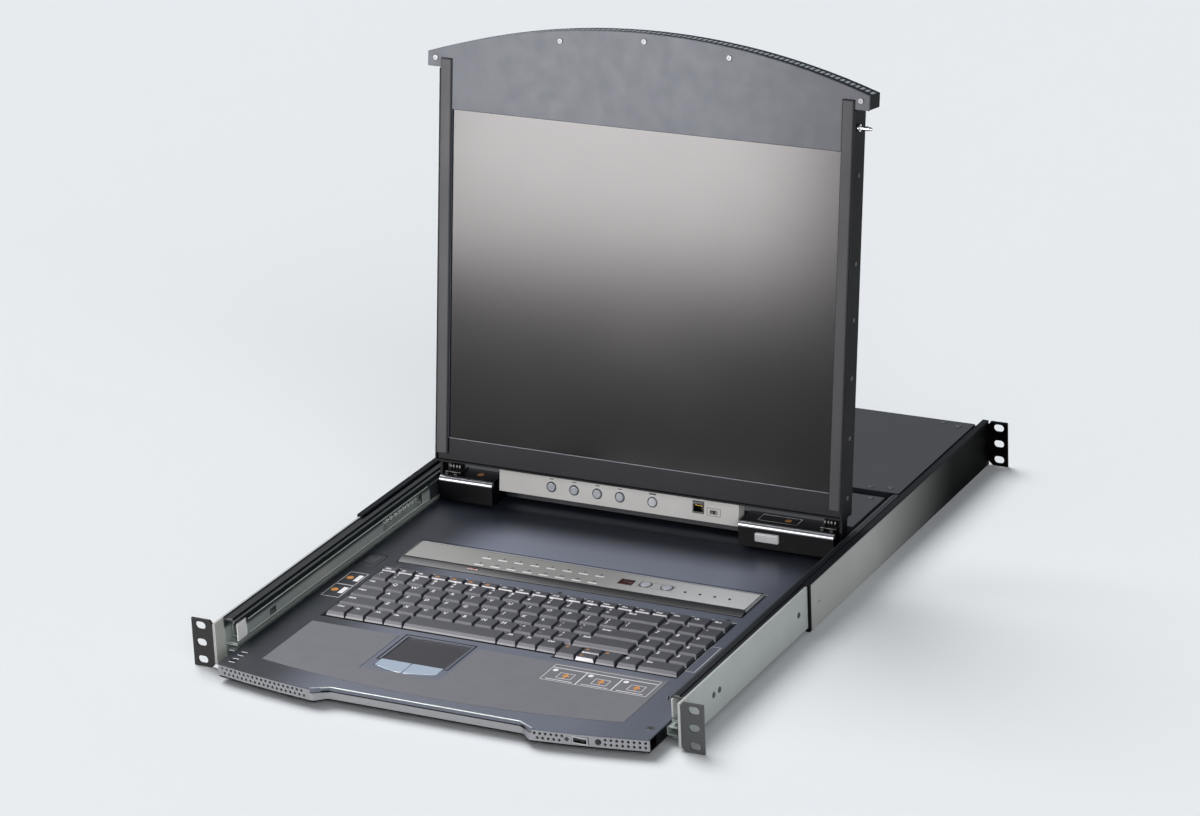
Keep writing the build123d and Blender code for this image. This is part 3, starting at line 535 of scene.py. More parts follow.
def ring(centre: Point, radius: float, wire: float, turn: Point = (0.0, 0.0, 0.0)) -> Piece:
    """Model a thin ring of round wire, in millimetres.

    Args:
        centre: its middle.
        radius: the radius of the ring.
        wire: the radius of the wire.
        turn: its turn from lying flat, in radians.

    Returns:
        The new piece.
    """
    fresh()
    bpy.ops.mesh.primitive_torus_add(location=[c * MM for c in centre], rotation=turn,
                                     major_radius=radius * MM, minor_radius=wire * MM,
                                     major_segments=32, minor_segments=6)
    return bpy.context.object


def lid_place(frame: dict) -> Matrix:
    """Return the turn and place that lean an upright piece back as the lid leans."""
    hinge = next(j for j in frame["joints"] if j["name"] == "lid_hinge")
    return Matrix.Translation(Vector(hinge["pos_m"])) @ Matrix.Rotation(-LID_LEAN, 4, "X")


@dataclass
class Workshop:
    """What every sub-assembly needs: the frame and the ways to finish a piece.

    Attributes:
        count: how many pieces were finished.
    """

    frame: dict
    count: int = 0

    def node(self, name: str) -> Piece:
        """Return a CAD node's object."""
        return self.frame["nodes"][name]

    def coat(self, finish: Finish, *names: str) -> None:
        """Finish CAD nodes that keep their own shape.

        Args:
            finish: the finish.
            names: the nodes.
        """
        for name in names:
            node = self.node(name)
            material = finish.build()
            if not node.material_slots:
                node.data.materials.append(material)
            for slot in node.material_slots:
                slot.material = material
            LOG.info("coated %s with %s", name, finish.name)

    def add(self, piece: Piece, finish: Finish | None, body: str, slot: str,
            *replaced: str, angle: float = SHARP) -> None:
        """Finish a new piece and let it ride on its body.

        Args:
            piece: the piece, in place.
            finish: its finish, or None where it has its own.
            body: the body that it rides on.
            slot: the record's material slot; not used.
            replaced: the CAD nodes that it stands for.
            angle: the edge angle that stays sharp, in degrees.
        """
        if finish:
            paint(piece, finish)
        smooth(piece, angle)
        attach(piece, body)
        if replaced:
            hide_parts(*replaced)
        self.count += 1
        LOG.info("made %s on %s", piece.name, body)

    def copy(self, node: str) -> Piece:
        """Copy a CAD node and merge its facets; the copy is free of any body.

        Args:
            node: the CAD node.

        Returns:
            The copy.
        """
        source = self.node(node)
        piece = source.copy()
        piece.data = source.data.copy()
        piece.parent = None
        for key in [k for k in piece.keys() if k.startswith("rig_")]:
            del piece[key]
        bpy.context.scene.collection.objects.link(piece)
        take(piece)
        bpy.ops.object.mode_set(mode="EDIT")
        bpy.ops.mesh.select_all(action="SELECT")
        bpy.ops.mesh.remove_doubles(threshold=0.01 * MM)
        bpy.ops.mesh.dissolve_limited(angle_limit=math.radians(1.0))
        bpy.ops.object.mode_set(mode="OBJECT")
        return piece


def islands(piece: Piece, upright: Matrix | None = None) -> list[list[Vector]]:
    """Group a merged piece's points into its separate solids.

    Args:
        piece: the merged piece.
        upright: a turn that stands the points upright first.

    Returns:
        One list of points for each solid.
    """
    parent = list(range(len(piece.data.vertices)))

    def root(i: int) -> int:
        """Find the point that stands for a point's solid."""
        while parent[i] != i:
            parent[i] = parent[parent[i]]
            i = parent[i]
        return i

    for edge in piece.data.edges:
        a, b = (root(v) for v in edge.vertices)
        parent[a] = b
    groups: dict[int, list[Vector]] = {}
    for vertex in piece.data.vertices:
        point = upright @ vertex.co if upright else vertex.co.copy()
        groups.setdefault(root(vertex.index), []).append(point)
    return list(groups.values())


def extent(points: list[Vector]) -> tuple[Vector, Vector]:
    """Measure some points.

    Args:
        points: the points, in metres.

    Returns:
        Their lowest and highest corner, in millimetres.
    """
    low = Vector([min(p[i] for p in points) for i in range(3)]) / MM
    high = Vector([max(p[i] for p in points) for i in range(3)]) / MM
    return low, high


@dataclass
class Studio:
    """The pale floor, the plain soft light and the camera.

    Attributes:
        floor_z: the floor's height in metres.
        floor_colour: the floor's tone.
        ambient: the strength of the even light.
        gloss: the strength of what shines in glossy faces.
        sun: the strength of the key light.
        fill: the strength of the light from beside the camera.
        place_mm: where the camera stands.
        azimuth: its turn about the vertical, in degrees.
        elevation: its height angle, in degrees.
        roll: its roll, in degrees.
        lens: its focal length on a 36 mm sensor.
        card_size: the width and height of the card that shines in the lid, in metres.
        card_energy: its power in watts.
        card_colour: its tone in linear light.
        card_away: how far it stands from the lid, in metres.
        card_aside: how far it is shifted sideways, in metres.
    """

    floor_z: float = -0.0222
    floor_colour: str = "#E3E7EA"
    ambient: float = 0.13
    gloss: float = 0.31
    sun: float = 2.9
    fill: float = 1.4
    place_mm: Point = (1612.58, -2787.93, 1477.38)
    azimuth: float = 27.52
    elevation: float = 21.05
    roll: float = -2.56
    lens: float = 127.88
    card_size: tuple[float, float] = (0.58, 0.9)
    card_energy: float = 74.0
    card_colour: Point = (1.0, 0.96, 0.965)
    card_away: float = 2.0
    card_aside: float = 0.07

    def build(self) -> None:
        """Make the floor, the lights and the camera."""
        self.world()
        self.floor()
        self.lights()
        self.camera()
        bpy.context.scene.view_settings.view_transform = "Standard"

    def world(self) -> None:
        """Light everything evenly; what looks past the floor sees the floor's tone."""
        world = bpy.data.worlds.new("studio")
        bpy.context.scene.world = world
        world.use_nodes = True
        tree = world.node_tree
        tree.nodes.clear()
        path = add_node(tree, "LightPath")
        even, shine, seen = (
            add_node(tree, "Background", {"Color": linear(tone), "Strength": strength})
            for tone, strength in (("#F6F8FF", self.ambient), ("#F6F8FF", self.gloss), ("#E7ECF2", 1.0)))
        shown = even
        for ray, other in (("Is Glossy Ray", shine), ("Is Camera Ray", seen)):
            mix = add_node(tree, "MixShader", {}, {"Fac": path.outputs[ray]})
            tree.links.new(shown.outputs[0], mix.inputs[1])
            tree.links.new(other.outputs[0], mix.inputs[2])
            shown = mix
        add_node(tree, "OutputWorld", {}, {"Surface": shown.outputs[0]})

    def floor(self) -> None:
        """Lay the pale floor."""
        fresh()
        bpy.ops.mesh.primitive_plane_add(size=30, location=(0, 0, self.floor_z))
        floor = bpy.context.object
        floor.name = "studio_floor"
        settle(floor)
        paint(floor, Finish("studio_paper", self.floor_colour, self.floor_colour, 0.9, grain_depth=0.0,
                            mottle_mm=800.0))

    def lights(self) -> None:
        """Hang the soft lights and the card that shines in the glossy lid."""
        for name, strength, spread, travel in (("key_light", self.sun, 38, (0.62, -0.34, -1.0)),
                                               ("fill_light", self.fill, 50, (-0.7, 0.8, -0.35))):
            light = bpy.data.lights.new(name, "SUN")
            light.energy = strength
            light.angle = math.radians(spread)
            lamp = bpy.data.objects.new(name, light)
            bpy.context.scene.collection.objects.link(lamp)
            lamp.rotation_euler = Vector(travel).to_track_quat("-Z", "Y").to_euler()
        card = bpy.data.lights.new("lid_card", "AREA")
        card.shape = "RECTANGLE"
        card.size, card.size_y = self.card_size
        card.energy = self.card_energy
        card.color = self.card_colour
        sheet = bpy.data.objects.new("lid_card", card)
        bpy.context.scene.collection.objects.link(sheet)
        away = Vector((-0.43, -0.9, 0.0)).normalized()
        aside = Vector((away.y, -away.x, 0.0))
        lid_foot, lift = Vector((0.0, 0.33, 0.0)), Vector((0.0, 0.0, 0.51))
        sheet.location = lid_foot + away * self.card_away + aside * self.card_aside + lift
        sheet.rotation_euler = (-away).to_track_quat("-Z", "Y").to_euler()
        sheet.visible_diffuse = False
        sheet.visible_camera = False

    def camera(self) -> None:
        """Stand the camera where the photograph was taken."""
        a, e, r = (math.radians(v) for v in (self.azimuth, self.elevation, self.roll))
        back = Vector((math.sin(a) * math.cos(e), -math.cos(a) * math.cos(e), math.sin(e)))
        right = Vector((math.cos(a), math.sin(a), 0.0))
        up = back.cross(right)
        right, up = (math.cos(r) * right + math.sin(r) * up, -math.sin(r) * right + math.cos(r) * up)
        data = bpy.data.cameras.new("studio_camera")
        data.sensor_width = 36.0
        data.lens = self.lens
        data.clip_end = 60.0
        camera = bpy.data.objects.new("studio_camera", data)
        bpy.context.scene.collection.objects.link(camera)
        turn = Matrix((right, up, back)).transposed().to_4x4()
        camera.matrix_world = Matrix.Translation(Vector(self.place_mm) * MM) @ turn
        bpy.context.scene.camera = camera


@dataclass
class Screw:
    """A cross-recessed pan-head screw, modelled once and copied to each seat.

    Attributes:
        head_r: the head's radius.
        head_h: how far it stands proud.
        recess: the recess's reach.
        slot: half the width of the recess's arms.
        root: how far the head sinks into its seat.
    """

    head_r: float = 3.0
    head_h: float = 1.1
    recess: float = 1.7
    slot: float = 0.32
    root: float = 0.6

    def model(self) -> Piece:
        """Model the head at the origin, its face up."""
        head = disc("screw_head", (0, 0, (self.head_h - self.root) / 2), self.head_r, self.head_h + self.root,
                    sides=20)
        bevel(head, self.head_h * 0.45, 2, 60)
        floor, above = self.head_h - 0.5, 3
        for x, y in ((self.recess, self.slot), (self.slot, self.recess)):
            arm = box("recess_bar", (-x, -y, floor), (x, y, above))
            take(head)
            cut = head.modifiers.new("recess", "BOOLEAN")
            cut.operation = "DIFFERENCE"
            cut.solver = "EXACT"
            cut.object = arm
            bpy.ops.object.modifier_apply(modifier="recess")
            bpy.data.objects.remove(arm)
        return head

    def seats(self, shop: Workshop, node: str, upright: Matrix | None = None,
              largest: float = 4.0) -> list[Seat]:
        """Find where a CAD node's screws sit.

        Args:
            shop: the workshop.
            node: the CAD node of screws.
            upright: the turn that stands the node upright.
            largest: round parts wider than this radius are left out.

        Returns:
            The middle of each head's seat, its outward direction and its radius.
        """
        near = 0.05
        copy = shop.copy(node)
        found = []
        for points in islands(copy, upright):
            low, high = extent(points)
            size = high - low
            axis = min((abs(size[(i + 1) % 3] - size[(i + 2) % 3]), i) for i in range(3))[1]
            radius = size[(axis + 1) % 3] / 2
            if radius > largest:
                continue
            # The wider end of a screw is its head; a plain rod points away from the middle or up
            middle = (low + high) / 2
            spread = {1: 0.0, -1: 0.0}
            for point in points:
                off = point / MM - middle
                side = 1 if off[axis] > 0 else -1
                if abs(off[axis]) > size[axis] / 2 - near:
                    across = math.hypot(off[(axis + 1) % 3], off[(axis + 2) % 3])
                    spread[side] = max(spread[side], across)
            outward = Vector((0, 0, 0))
            if abs(spread[1] - spread[-1]) < near:
                outward[axis] = (math.copysign(1, middle.x), -1, 1)[axis]
            else:
                outward[axis] = 1 if spread[1] > spread[-1] else -1
            face = middle + outward * size[axis] / 2
            found.append((face, outward, radius))
        bpy.data.objects.remove(copy)
        return found

    def copies(self, name: str, seats: list[Seat], lean: Matrix | None = None) -> Piece:
        """Copy the screw to every seat.

        Args:
            name: the joined piece's name.
            seats: faces, outward directions and radii.
            lean: the turn that leans upright seats back.

        Returns:
            All the heads as one piece.
        """
        master = self.model()
        heads = []
        spin_step = 0.9  # radians from one screw's cross to the next
        for number, (face, outward, radius) in enumerate(seats):
            size = radius / self.head_r
            turn = outward.to_track_quat("Z", "Y").to_matrix().to_4x4()
            spin = Matrix.Rotation(number * spin_step, 4, "Z")
            seat = at(*(face - outward * self.head_h * size))
            place = seat @ turn @ spin @ Matrix.Scale(size, 4)
            heads.append(twin(master, lean @ place if lean else place))
        bpy.data.objects.remove(master)
        return joined(name, heads)


@dataclass
class Assembly:
    """A sub-assembly, most of whose pieces ride on one body.

    Attributes:
        shop: the workshop.
        body: that body's name.
        lean: the turn that leans its upright pieces back, where it has one.
    """

    shop: Workshop
    body: str = ""
    lean: Matrix | None = None

    def soften(self, node: str, width_mm: float, finish: Finish, slot: str, segments: int = 2,
               body: str = "") -> None:
        """Copy a CAD node, round its edges and let the copy stand for it.

        Args:
            node: the CAD node.
            width_mm: how wide the edges are rounded.
            finish: the finish.
            slot: the record's material slot.
            segments: the steps of the rounding.
            body: the body that it rides on, where that isn't the assembly's.
        """
        piece = self.shop.copy(node)
        bevel(piece, width_mm, segments)
        piece.name = node + "_rounded"
        self.shop.add(piece, finish, body or self.body, slot, node)

    def lay(self, name: str, parts: list[Piece], finish: Finish, slot: str, body: str = "",
            angle: float = SHARP) -> None:
        """Join small parts into one finished piece, leant back where the assembly leans.

        Args:
            name: the piece's name.
            parts: its parts, in place.
            finish: the finish.
            slot: the record's material slot.
            body: the body that it rides on, where that isn't the assembly's.
            angle: the edge angle that stays sharp, in degrees.
        """
        piece = joined(name, parts)
        if self.lean:
            piece.matrix_world = self.lean @ piece.matrix_world
            settle(piece)
        self.shop.add(piece, finish, body or self.body, slot, angle=angle)

    def screw_in(self, screw: Screw, node: str, name: str) -> None:
        """Set real screws where a CAD node has plain ones."""
        heads = screw.copies(name, screw.seats(self.shop, node))
        self.shop.add(heads, Finishes.screw, self.body, "zinc", node)


@dataclass
class Chassis(Assembly):
    """The side rails, slides, brackets and rear housing.

    Attributes:
        port_pitch: the spacing of the rear ports.
        ball_r: the radius of a slide's ball.
    """

    body: str = "chassis"
    port_pitch: float = 25.5
    ball_r: float = 1.5

    def build(self) -> None:
        """Dress the chassis."""
        f = Finishes
        for side in ("left", "right"):
            self.soften("side_rail_" + side, 0.4, f.rail, "rail_paint", 1)
            self.soften("rear_bracket_" + side, 0.4, f.sleeve, "rail_paint", 1, "rear_bracket_" + side)
        self.shop.coat(f.zinc, "slide_outer_members", "lcd_slide_middles", "keyboard_slide_middles",
                       "lcd_slide_inners", "keyboard_slide_inners")
        # The cages take the bright lip zinc: painted light lifting them out of the shade behind the windows
        self.shop.coat(f.lip, "lcd_slide_cages")
        self.shop.coat(f.cover, "rear_pan")
        self.soften("rear_cover", 0.4, f.cover, "black_paint")
        self.shop.coat(f.board, "housing_electronics")
        self.shop.coat(f.black, "power_inlet")
        self.shop.coat(f.chrome, "port_connectors")
        self.soften("power_rocker", 0.5, f.black, "black_plastic", body="power_rocker")
        self.screw_in(Screw(), "chassis_screws", "chassis_screw_heads")
        self.balls()
        self.end_tongues()
        self.slide_lips()
        self.ports()
        self.rocker_marks()

    def balls(self) -> None:
        """Lay steel balls between the teeth of the upper slides' cages."""
        low, high = span("lcd_slide_cages")
        inset, pitch, tooth = 1.2, 8.0, 2.4
        for level, name in ((high.z - tooth, "upper"), (low.z + tooth, "lower")):
            row = []
            for side in (-1, 1):
                for step in range(10):
                    fresh()
                    place = (side * (high.x - inset) * MM, (low.y + 4 + step * pitch) * MM, level * MM)
                    bpy.ops.mesh.primitive_uv_sphere_add(segments=12, ring_count=8, radius=self.ball_r * MM,
                                                         location=place)
                    row.append(bpy.context.object)
            self.lay("slide_balls_" + name, row, Finishes.chrome, "chrome", "lcd_slide_middles", 80)

    def end_tongues(self) -> None:
        """Fit the white nylon end pieces of the upper slides' middle members."""
        low = span("lcd_slide_middles")[0]
        ends = [box("end", (side * 205.0, low.y - 9.0, -1.0), (side * 206.2, low.y + 6.0, 15.4), 0.5)
                for side in (-1, 1)]
        self.lay("slide_end_pieces", ends, Finishes.nylon, "key_plastic", "lcd_slide_middles")

    def slide_lips(self) -> None:
        """Lay bright rolled lips, a painted highlight, and the row of stops along the upper slides' inner
        members.
        """
        low, high = span("lcd_slide_inners")
        face, rear_end, first_stop, stop_pitch = 203.7, 350.0, 268.0, 7.6
        lips, stops = [], []
        for side in (-1, 1):
            for z in (high.z - 1.2, low.z + 0.1):
                lips.append(box("lip", (side * face, low.y + 2, z),
                                (side * (face + 0.5), rear_end, z + 1.1), 0.1))
            for step in range(11):
                place = (side * (face + 0.1), first_stop + step * stop_pitch, high.z - 2.6)
                stops.append(disc("stop", place, 1.1, 0.6, Axis.X, 10, 0.15))
        self.lay("slide_lips", lips, Finishes.lip, "zinc", "lcd_carriage")
        self.lay("slide_stops", stops, Finishes.chrome, "chrome", "lcd_carriage")

    def ports(self) -> None:
        """Give each rear port its insulator, contacts and jack nuts."""
        low, high = span("port_connectors")
        plates, contacts, nuts = [], [], []
        half_wide, half_tall, contact_pitch, line_pitch = 6.6, 3.0, 2.5, 1.9
        for column in range(8):
            x = low.x + 8.2 + column * self.port_pitch
            for z in (low.z + 4.0, high.z - 4.0):
                plates.append(box("insulator", (x - half_wide, high.y - 2.2, z - half_tall),
                                  (x + half_wide, high.y - 0.6, z + half_tall), 0.4))
                for line in range(3):
                    for place in range(5):
                        spot = (x - 5.0 + place * contact_pitch, high.y - 0.55, z + 1.9 - line * line_pitch)
                        contacts.append(disc("contact", spot, 0.4, 0.2, Axis.Y, 6))
                for side in (-1, 1):
                    spot = (x + side * 10.4, high.y - 3.6, z)
                    nuts.append(disc("jack_nut", spot, 2.0, 3.0, Axis.Y, 6, 0.2))
        self.lay("port_insulators", plates, Finishes.insulator, "black_plastic")
        self.lay("port_contacts", contacts, Finishes.gold, "chrome")
        self.lay("port_jack_nuts", nuts, Finishes.screw, "zinc")

    def rocker_marks(self) -> None:
        """Print the line and the circle on the power rocker."""
        low, high = span("power_rocker")
        x = (low.x + high.x) / 2
        face = Matrix.Rotation(math.radians(180), 4, "Z") @ Matrix.Rotation(math.radians(90), 4, "X")
        marks = [letters("rocker_mark", text, 2.6, at(x, y, z) @ face)
                 for text, z, y in (("I", high.z - 3.2, high.y + 0.02), ("O", low.z + 3.2, high.y - 1.1))]
        self.lay("rocker_marks", marks, Finishes.legend, "key_plastic", "power_rocker")


@dataclass
class Drawer(Assembly):
    """The keyboard drawer: deck, front, frame, palm rest, touchpad and catch.

    Attributes:
        deck_z: the deck's top face.
    """

    body: str = "keyboard_drawer"
    deck_z: float = -4.6

    def build(self) -> None:
        """Dress the drawer."""
        f = Finishes
        self.soften("drawer_deck", 0.5, f.deck, "navy_paint")
        self.soften("drawer_base", 0.4, f.shell, "black_paint", 1)
        self.soften("drawer_front", 0.25, f.silver, "silver_paint", 1)
        self.soften("keyboard_frame", 0.4, f.black, "black_plastic", 1)
        self.soften("drawer_catch", 0.6, f.touch, "black_plastic", body="drawer_catch")
        self.shop.coat(f.palm, "palm_film")
        self.soften("touchpad", 0.4, f.touch, "film")
        self.shop.coat(f.chrome, "usb_port")
        self.soften("reset_button", 0.3, f.black, "black_plastic", body="reset_button")
        for name in ("touchpad_button_left", "touchpad_button_right"):
            self.soften(name, 0.7, f.touch_button, "button_blue", 3, name)
        self.screw_in(Screw(head_h=0.5, recess=1.6), "drawer_fasteners", "drawer_screw_heads")
        self.palm_labels()
        self.deck_labels()
        self.catch_ribs()
        self.usb()
        self.touch_rim()
        self.shadow_gaps()
        self.grip_beads()

    def palm_labels(self) -> None:
        """Print the palm film's frames and plain pictograms; their words are left off."""
        z = self.deck_z + 0.36
        foot, head, heading, edges = 48.6, 73.6, 79.6, (66.4, 99.3, 132.2, 165.0)
        frames, fields, arrows = [], [], []
        cells = [(x0, foot, x1, head) for x0, x1 in zip(edges, edges[1:])]
        for corners in cells + [(edges[0], head, edges[-1], heading)]:
            frames += outline(*corners, z)
        for x0, _, x1, _ in cells:
            middle = (x0 + x1) / 2
            fields.append(disc("dial", (x0 + 5.0, 69.0, z), 2.4, 0.06, sides=20))
            fields += outline(middle - 5, 55.0, middle + 9, 66.0, z, 0.5)
            arrows.append(disc("arrow", (middle + 2, 62.0, z + 0.03), 4.0, 0.06, sides=3))
            arrows.append(bar(middle + 1.2, 55.8, middle + 2.8, 61.0, z))
            fields.append(bar(x0 + 4, 51.0, x1 - 4, 51.8, z))
        self.lay("palm_label_frames", frames + fields, Finishes.legend, "film")
        self.lay("palm_label_arrows", arrows, Finishes.amber, "film")

    def deck_labels(self) -> None:
        """Print the side labels' plain frames and dots and the row of ticks on the deck."""
        z = self.deck_z + 0.02
        frames, signs = [], []
        for y in (135.0, 162.5):
            frames += outline(-194.0, y, -176.0, y + 27.0, z)
            frames.append(bar(-182.6, y + 9.0, -177.8, y + 22.0, z))
            signs.append(disc("sign", (-188.4, y + 15.0, z), 3.4, 0.06, sides=20))
        frames += outline(172.6, 107.0, 181.6, 160.0, z)
        ticks = [bar(-196.0, y, -190.0, y + 1.0, z) for y in (-17.0, -10.0, -3.0, 4.0)]
        self.lay("deck_label_frames", frames, Finishes.legend, "film")
        self.lay("deck_label_signs", signs, Finishes.amber, "film")
        self.lay("deck_ticks", ticks, Finishes.legend, "film")

    def catch_ribs(self) -> None:
        """Raise the finger ribs of the drawer catch."""
        low, high = span("drawer_catch")
        x, y = (low.x + high.x) / 2, (low.y + high.y) / 2
        starts = [y - 6 + k * 2.4 for k in range(6)]
        ribs = [box("rib", (x - 6, start, high.z - 0.2), (x + 6, start + 1.1, high.z + 0.5), 0.25)
                for start in starts]
        self.lay("catch_ribs", ribs, Finishes.key, "black_plastic", "drawer_catch")

    def usb(self) -> None:
        """Put the tongue and the four contacts in the front port."""
        low, high = span("usb_port")
        x, z = (low.x + high.x) / 2, (low.z + high.z) / 2
        tongue = box("usb_tongue", (x - 5.2, low.y + 0.5, z - 0.2), (x + 5.2, low.y + 6, z + 1.6), 0.2)
        self.lay("usb_tongue", [tongue], Finishes.black, "black_plastic")
        starts = [x - 3.9 + k * 2.3 for k in range(4)]
        strips = [box("contact", (start, low.y + 0.8, z - 0.3), (start + 1.1, low.y + 5, z - 0.15))
                  for start in starts]
        self.lay("usb_contacts", strips, Finishes.gold, "chrome")

    def touch_rim(self) -> None:
        """Lay the thin light line round the touchpad."""
        low, high = span("touchpad")
        lines = outline(low.x + 1.8, low.y - 1.6, high.x - 1.8, high.y - 1.8, self.deck_z + 0.32, 0.6)
        self.lay("touchpad_rim", lines, Finishes.chrome, "chrome")

    def shadow_gaps(self) -> None:
        """Line the edges of the deck's openings with black strips of painted shadow and two light strips of
        painted highlight.
        """
        z = self.deck_z + 0.02
        shadow_lines = [bar(*corners, z) for corners in (
            (-171.6, 95.7, 55.4, 97.8), (55.4, 90.6, 172.6, 92.6), (-171.6, 95.9, -170.6, 209.6),
            (171.9, 91.0, 172.9, 209.6), (-171.6, 208.4, 172.9, 209.6))]
        for corners in ((-167.8, 223.0, 171.9, 273.4), (-81.6, 34.6, -12.8, 88.2)):
            shadow_lines += outline(*corners, z, 1.3)
        edges = [bar(-168.2, 273.6, 172.3, 274.1, z), bar(-171.2, 210.0, 172.9, 210.5, z)]
        self.lay("deck_painted_shadow_lines", shadow_lines, Finishes.shell, "black_plastic")
        self.lay("deck_painted_highlight_lines", edges, Finishes.legend, "film")

    def grip_path(self, setback: float) -> list[tuple[float, float]]:
        """Return the plan line of the grip recess.

        Args:
            setback: how far the line lies behind the recess's wall, in millimetres.

        Returns:
            Points from left to right.
        """
        half, ramp, front, depth, steps = 104.0, 15.0, -38.0, 8.0, 14
        path = []
        for step in range(-steps, steps + 1):
            x = step * half / steps
            along = min(max((half - abs(x)) / ramp, 0.0), 1.0)
            path.append((x, front + along * along * (3 - 2 * along) * depth + setback))
        return path

    def grip_beads(self) -> None:
        """Run a bright bead of painted highlight, a black rod of painted shadow in the gap below it and the
        knurled lower bead along the grip.
        """
        beads = {"grip_painted_highlight_bead": (0.5, -4.9, 0.4, Finishes.lip),
                 "grip_painted_shadow_line": (0.9, -8.6, 0.65, Finishes.shell)}
        for name, (radius, level, setback, finish) in beads.items():
            rods = []
            path = self.grip_path(setback)
            for (x0, y0), (x1, y1) in zip(path, path[1:]):
                start, end = Vector((x0, y0, level)), Vector((x1, y1, level))
                rod = disc("rod", (0, 0, 0), radius, (end - start).length + 0.2, Axis.Z, 8)
                turn = (end - start).to_track_quat("Z", "Y").to_matrix().to_4x4()
                rod.matrix_world = at(*((start + end) / 2)) @ turn
                settle(rod)
                rods.append(rod)
            self.lay(name, rods, finish, "silver_paint", angle=60)
        first, pitch, wide = -88.0, 4.0, 2.4
        teeth = [box("knurl", (first + k * pitch, -29.98, -15.3), (first + wide + k * pitch, -29.4, -14.5))
                 for k in range(44)]
        self.lay("grip_knurls", teeth, Finishes.ink, "black_plastic")


@dataclass
class StatusPanel(Assembly):
    """The raised status panel: port labels, counter, lamps and two port buttons.

    Attributes:
        top_z: its top face.
        label_pitch: the spacing of the port labels.
        first_x: the first label's place.
    """

    body: str = "keyboard_drawer"
    top_z: float = -1.9
    label_pitch: float = 16.05
    first_x: float = -92.0

    def build(self) -> None:
        """Dress the panel."""
        self.soften("status_panel", 0.5, Finishes.status, "silver_paint")
        for name in ("port_button_1", "port_button_2"):
            self.soften(name, 0.8, Finishes.pale_button, "chrome", 3, name)
        self.shop.coat(Finishes.lamp_dark, "drawer_lamps")
        self.labels()
        self.rims()
        self.counter()
        self.lamps()

    def labels(self) -> None:
        """Print the sixteen port numbers, each over a plain light field."""
        fields, numbers = [], []
        for row, y in enumerate((257.0, 242.0)):
            for column in range(8):
                x = self.first_x + column * self.label_pitch
                fields.append(box("field", (x - 4.4, y - 4.6, self.top_z),
                                  (x + 4.4, y - 2.6, self.top_z + 0.08)))
                place = at(x, y, self.top_z + 0.06)
                numbers.append(letters("port_number", str(row * 8 + column + 1), 3.8, place))
        self.lay("port_fields", fields, Finishes.legend, "film")
        self.lay("port_numbers", numbers, Finishes.ink, "film")

    def rims(self) -> None:
        """Run a dark line of painted shade round the panel and a frame and rings round its two buttons."""
        rim = outline(-165.9, 233.0, 170.0, 271.6, self.top_z, 1.0)
        self.lay("panel_painted_shadow_rim", rim, Finishes.shell, "black_plastic")
        frame = outline(60.0, 246.4, 92.4, 257.6, self.top_z, 0.35)
        for name in ("port_button_1", "port_button_2"):
            low, high = span(name)
            frame.append(ring(((low.x + high.x) / 2, (low.y + high.y) / 2, self.top_z), 5.6, 0.4))
        self.lay("button_frame", frame, Finishes.ink, "film")

    def counter(self) -> None:
        """Set the two-digit counter's red segments behind its dark red window."""
        level = ((0, 4.2), (0, 0), (0, -4.2))
        upright = ((-1.9, 2.1), (1.9, 2.1), (-1.9, -2.1), (1.9, -2.1))
        bars = [(dx, dy, 3.0, 0.7) for dx, dy in level] + [(dx, dy, 0.7, 3.2) for dx, dy in upright]
        digits = []
        for x in (44.5, 50.5):
            for dx, dy, wide, tall in bars:
                low = (x + dx - wide / 2, 251.6 + dy - tall / 2, self.top_z - 0.32)
                digits.append(box("segment", low, (low[0] + wide, low[1] + tall, self.top_z - 0.24)))
        self.lay("counter_segments", digits, Finishes.lamp_red, "lamp")

    def lamps(self) -> None:
        """Seat the four small lamps and the long red one on the lip."""
        spots = [(105.2 + k * 14.2, 249.3, self.top_z + 0.1) for k in range(4)]
        domes = [disc("lamp_dome", spot, 1.35, 0.6, sides=12, edge_mm=0.2) for spot in spots]
        self.lay("lamp_domes", domes, Finishes.lamp_dark, "lamp")
        lens = box("lip_lamp", (-99.0, 229.0, self.top_z - 1.6), (-88.0, 231.4, self.top_z - 0.5), 0.3)
        self.lay("lip_lamp", [lens], Finishes.lamp_red, "lamp")


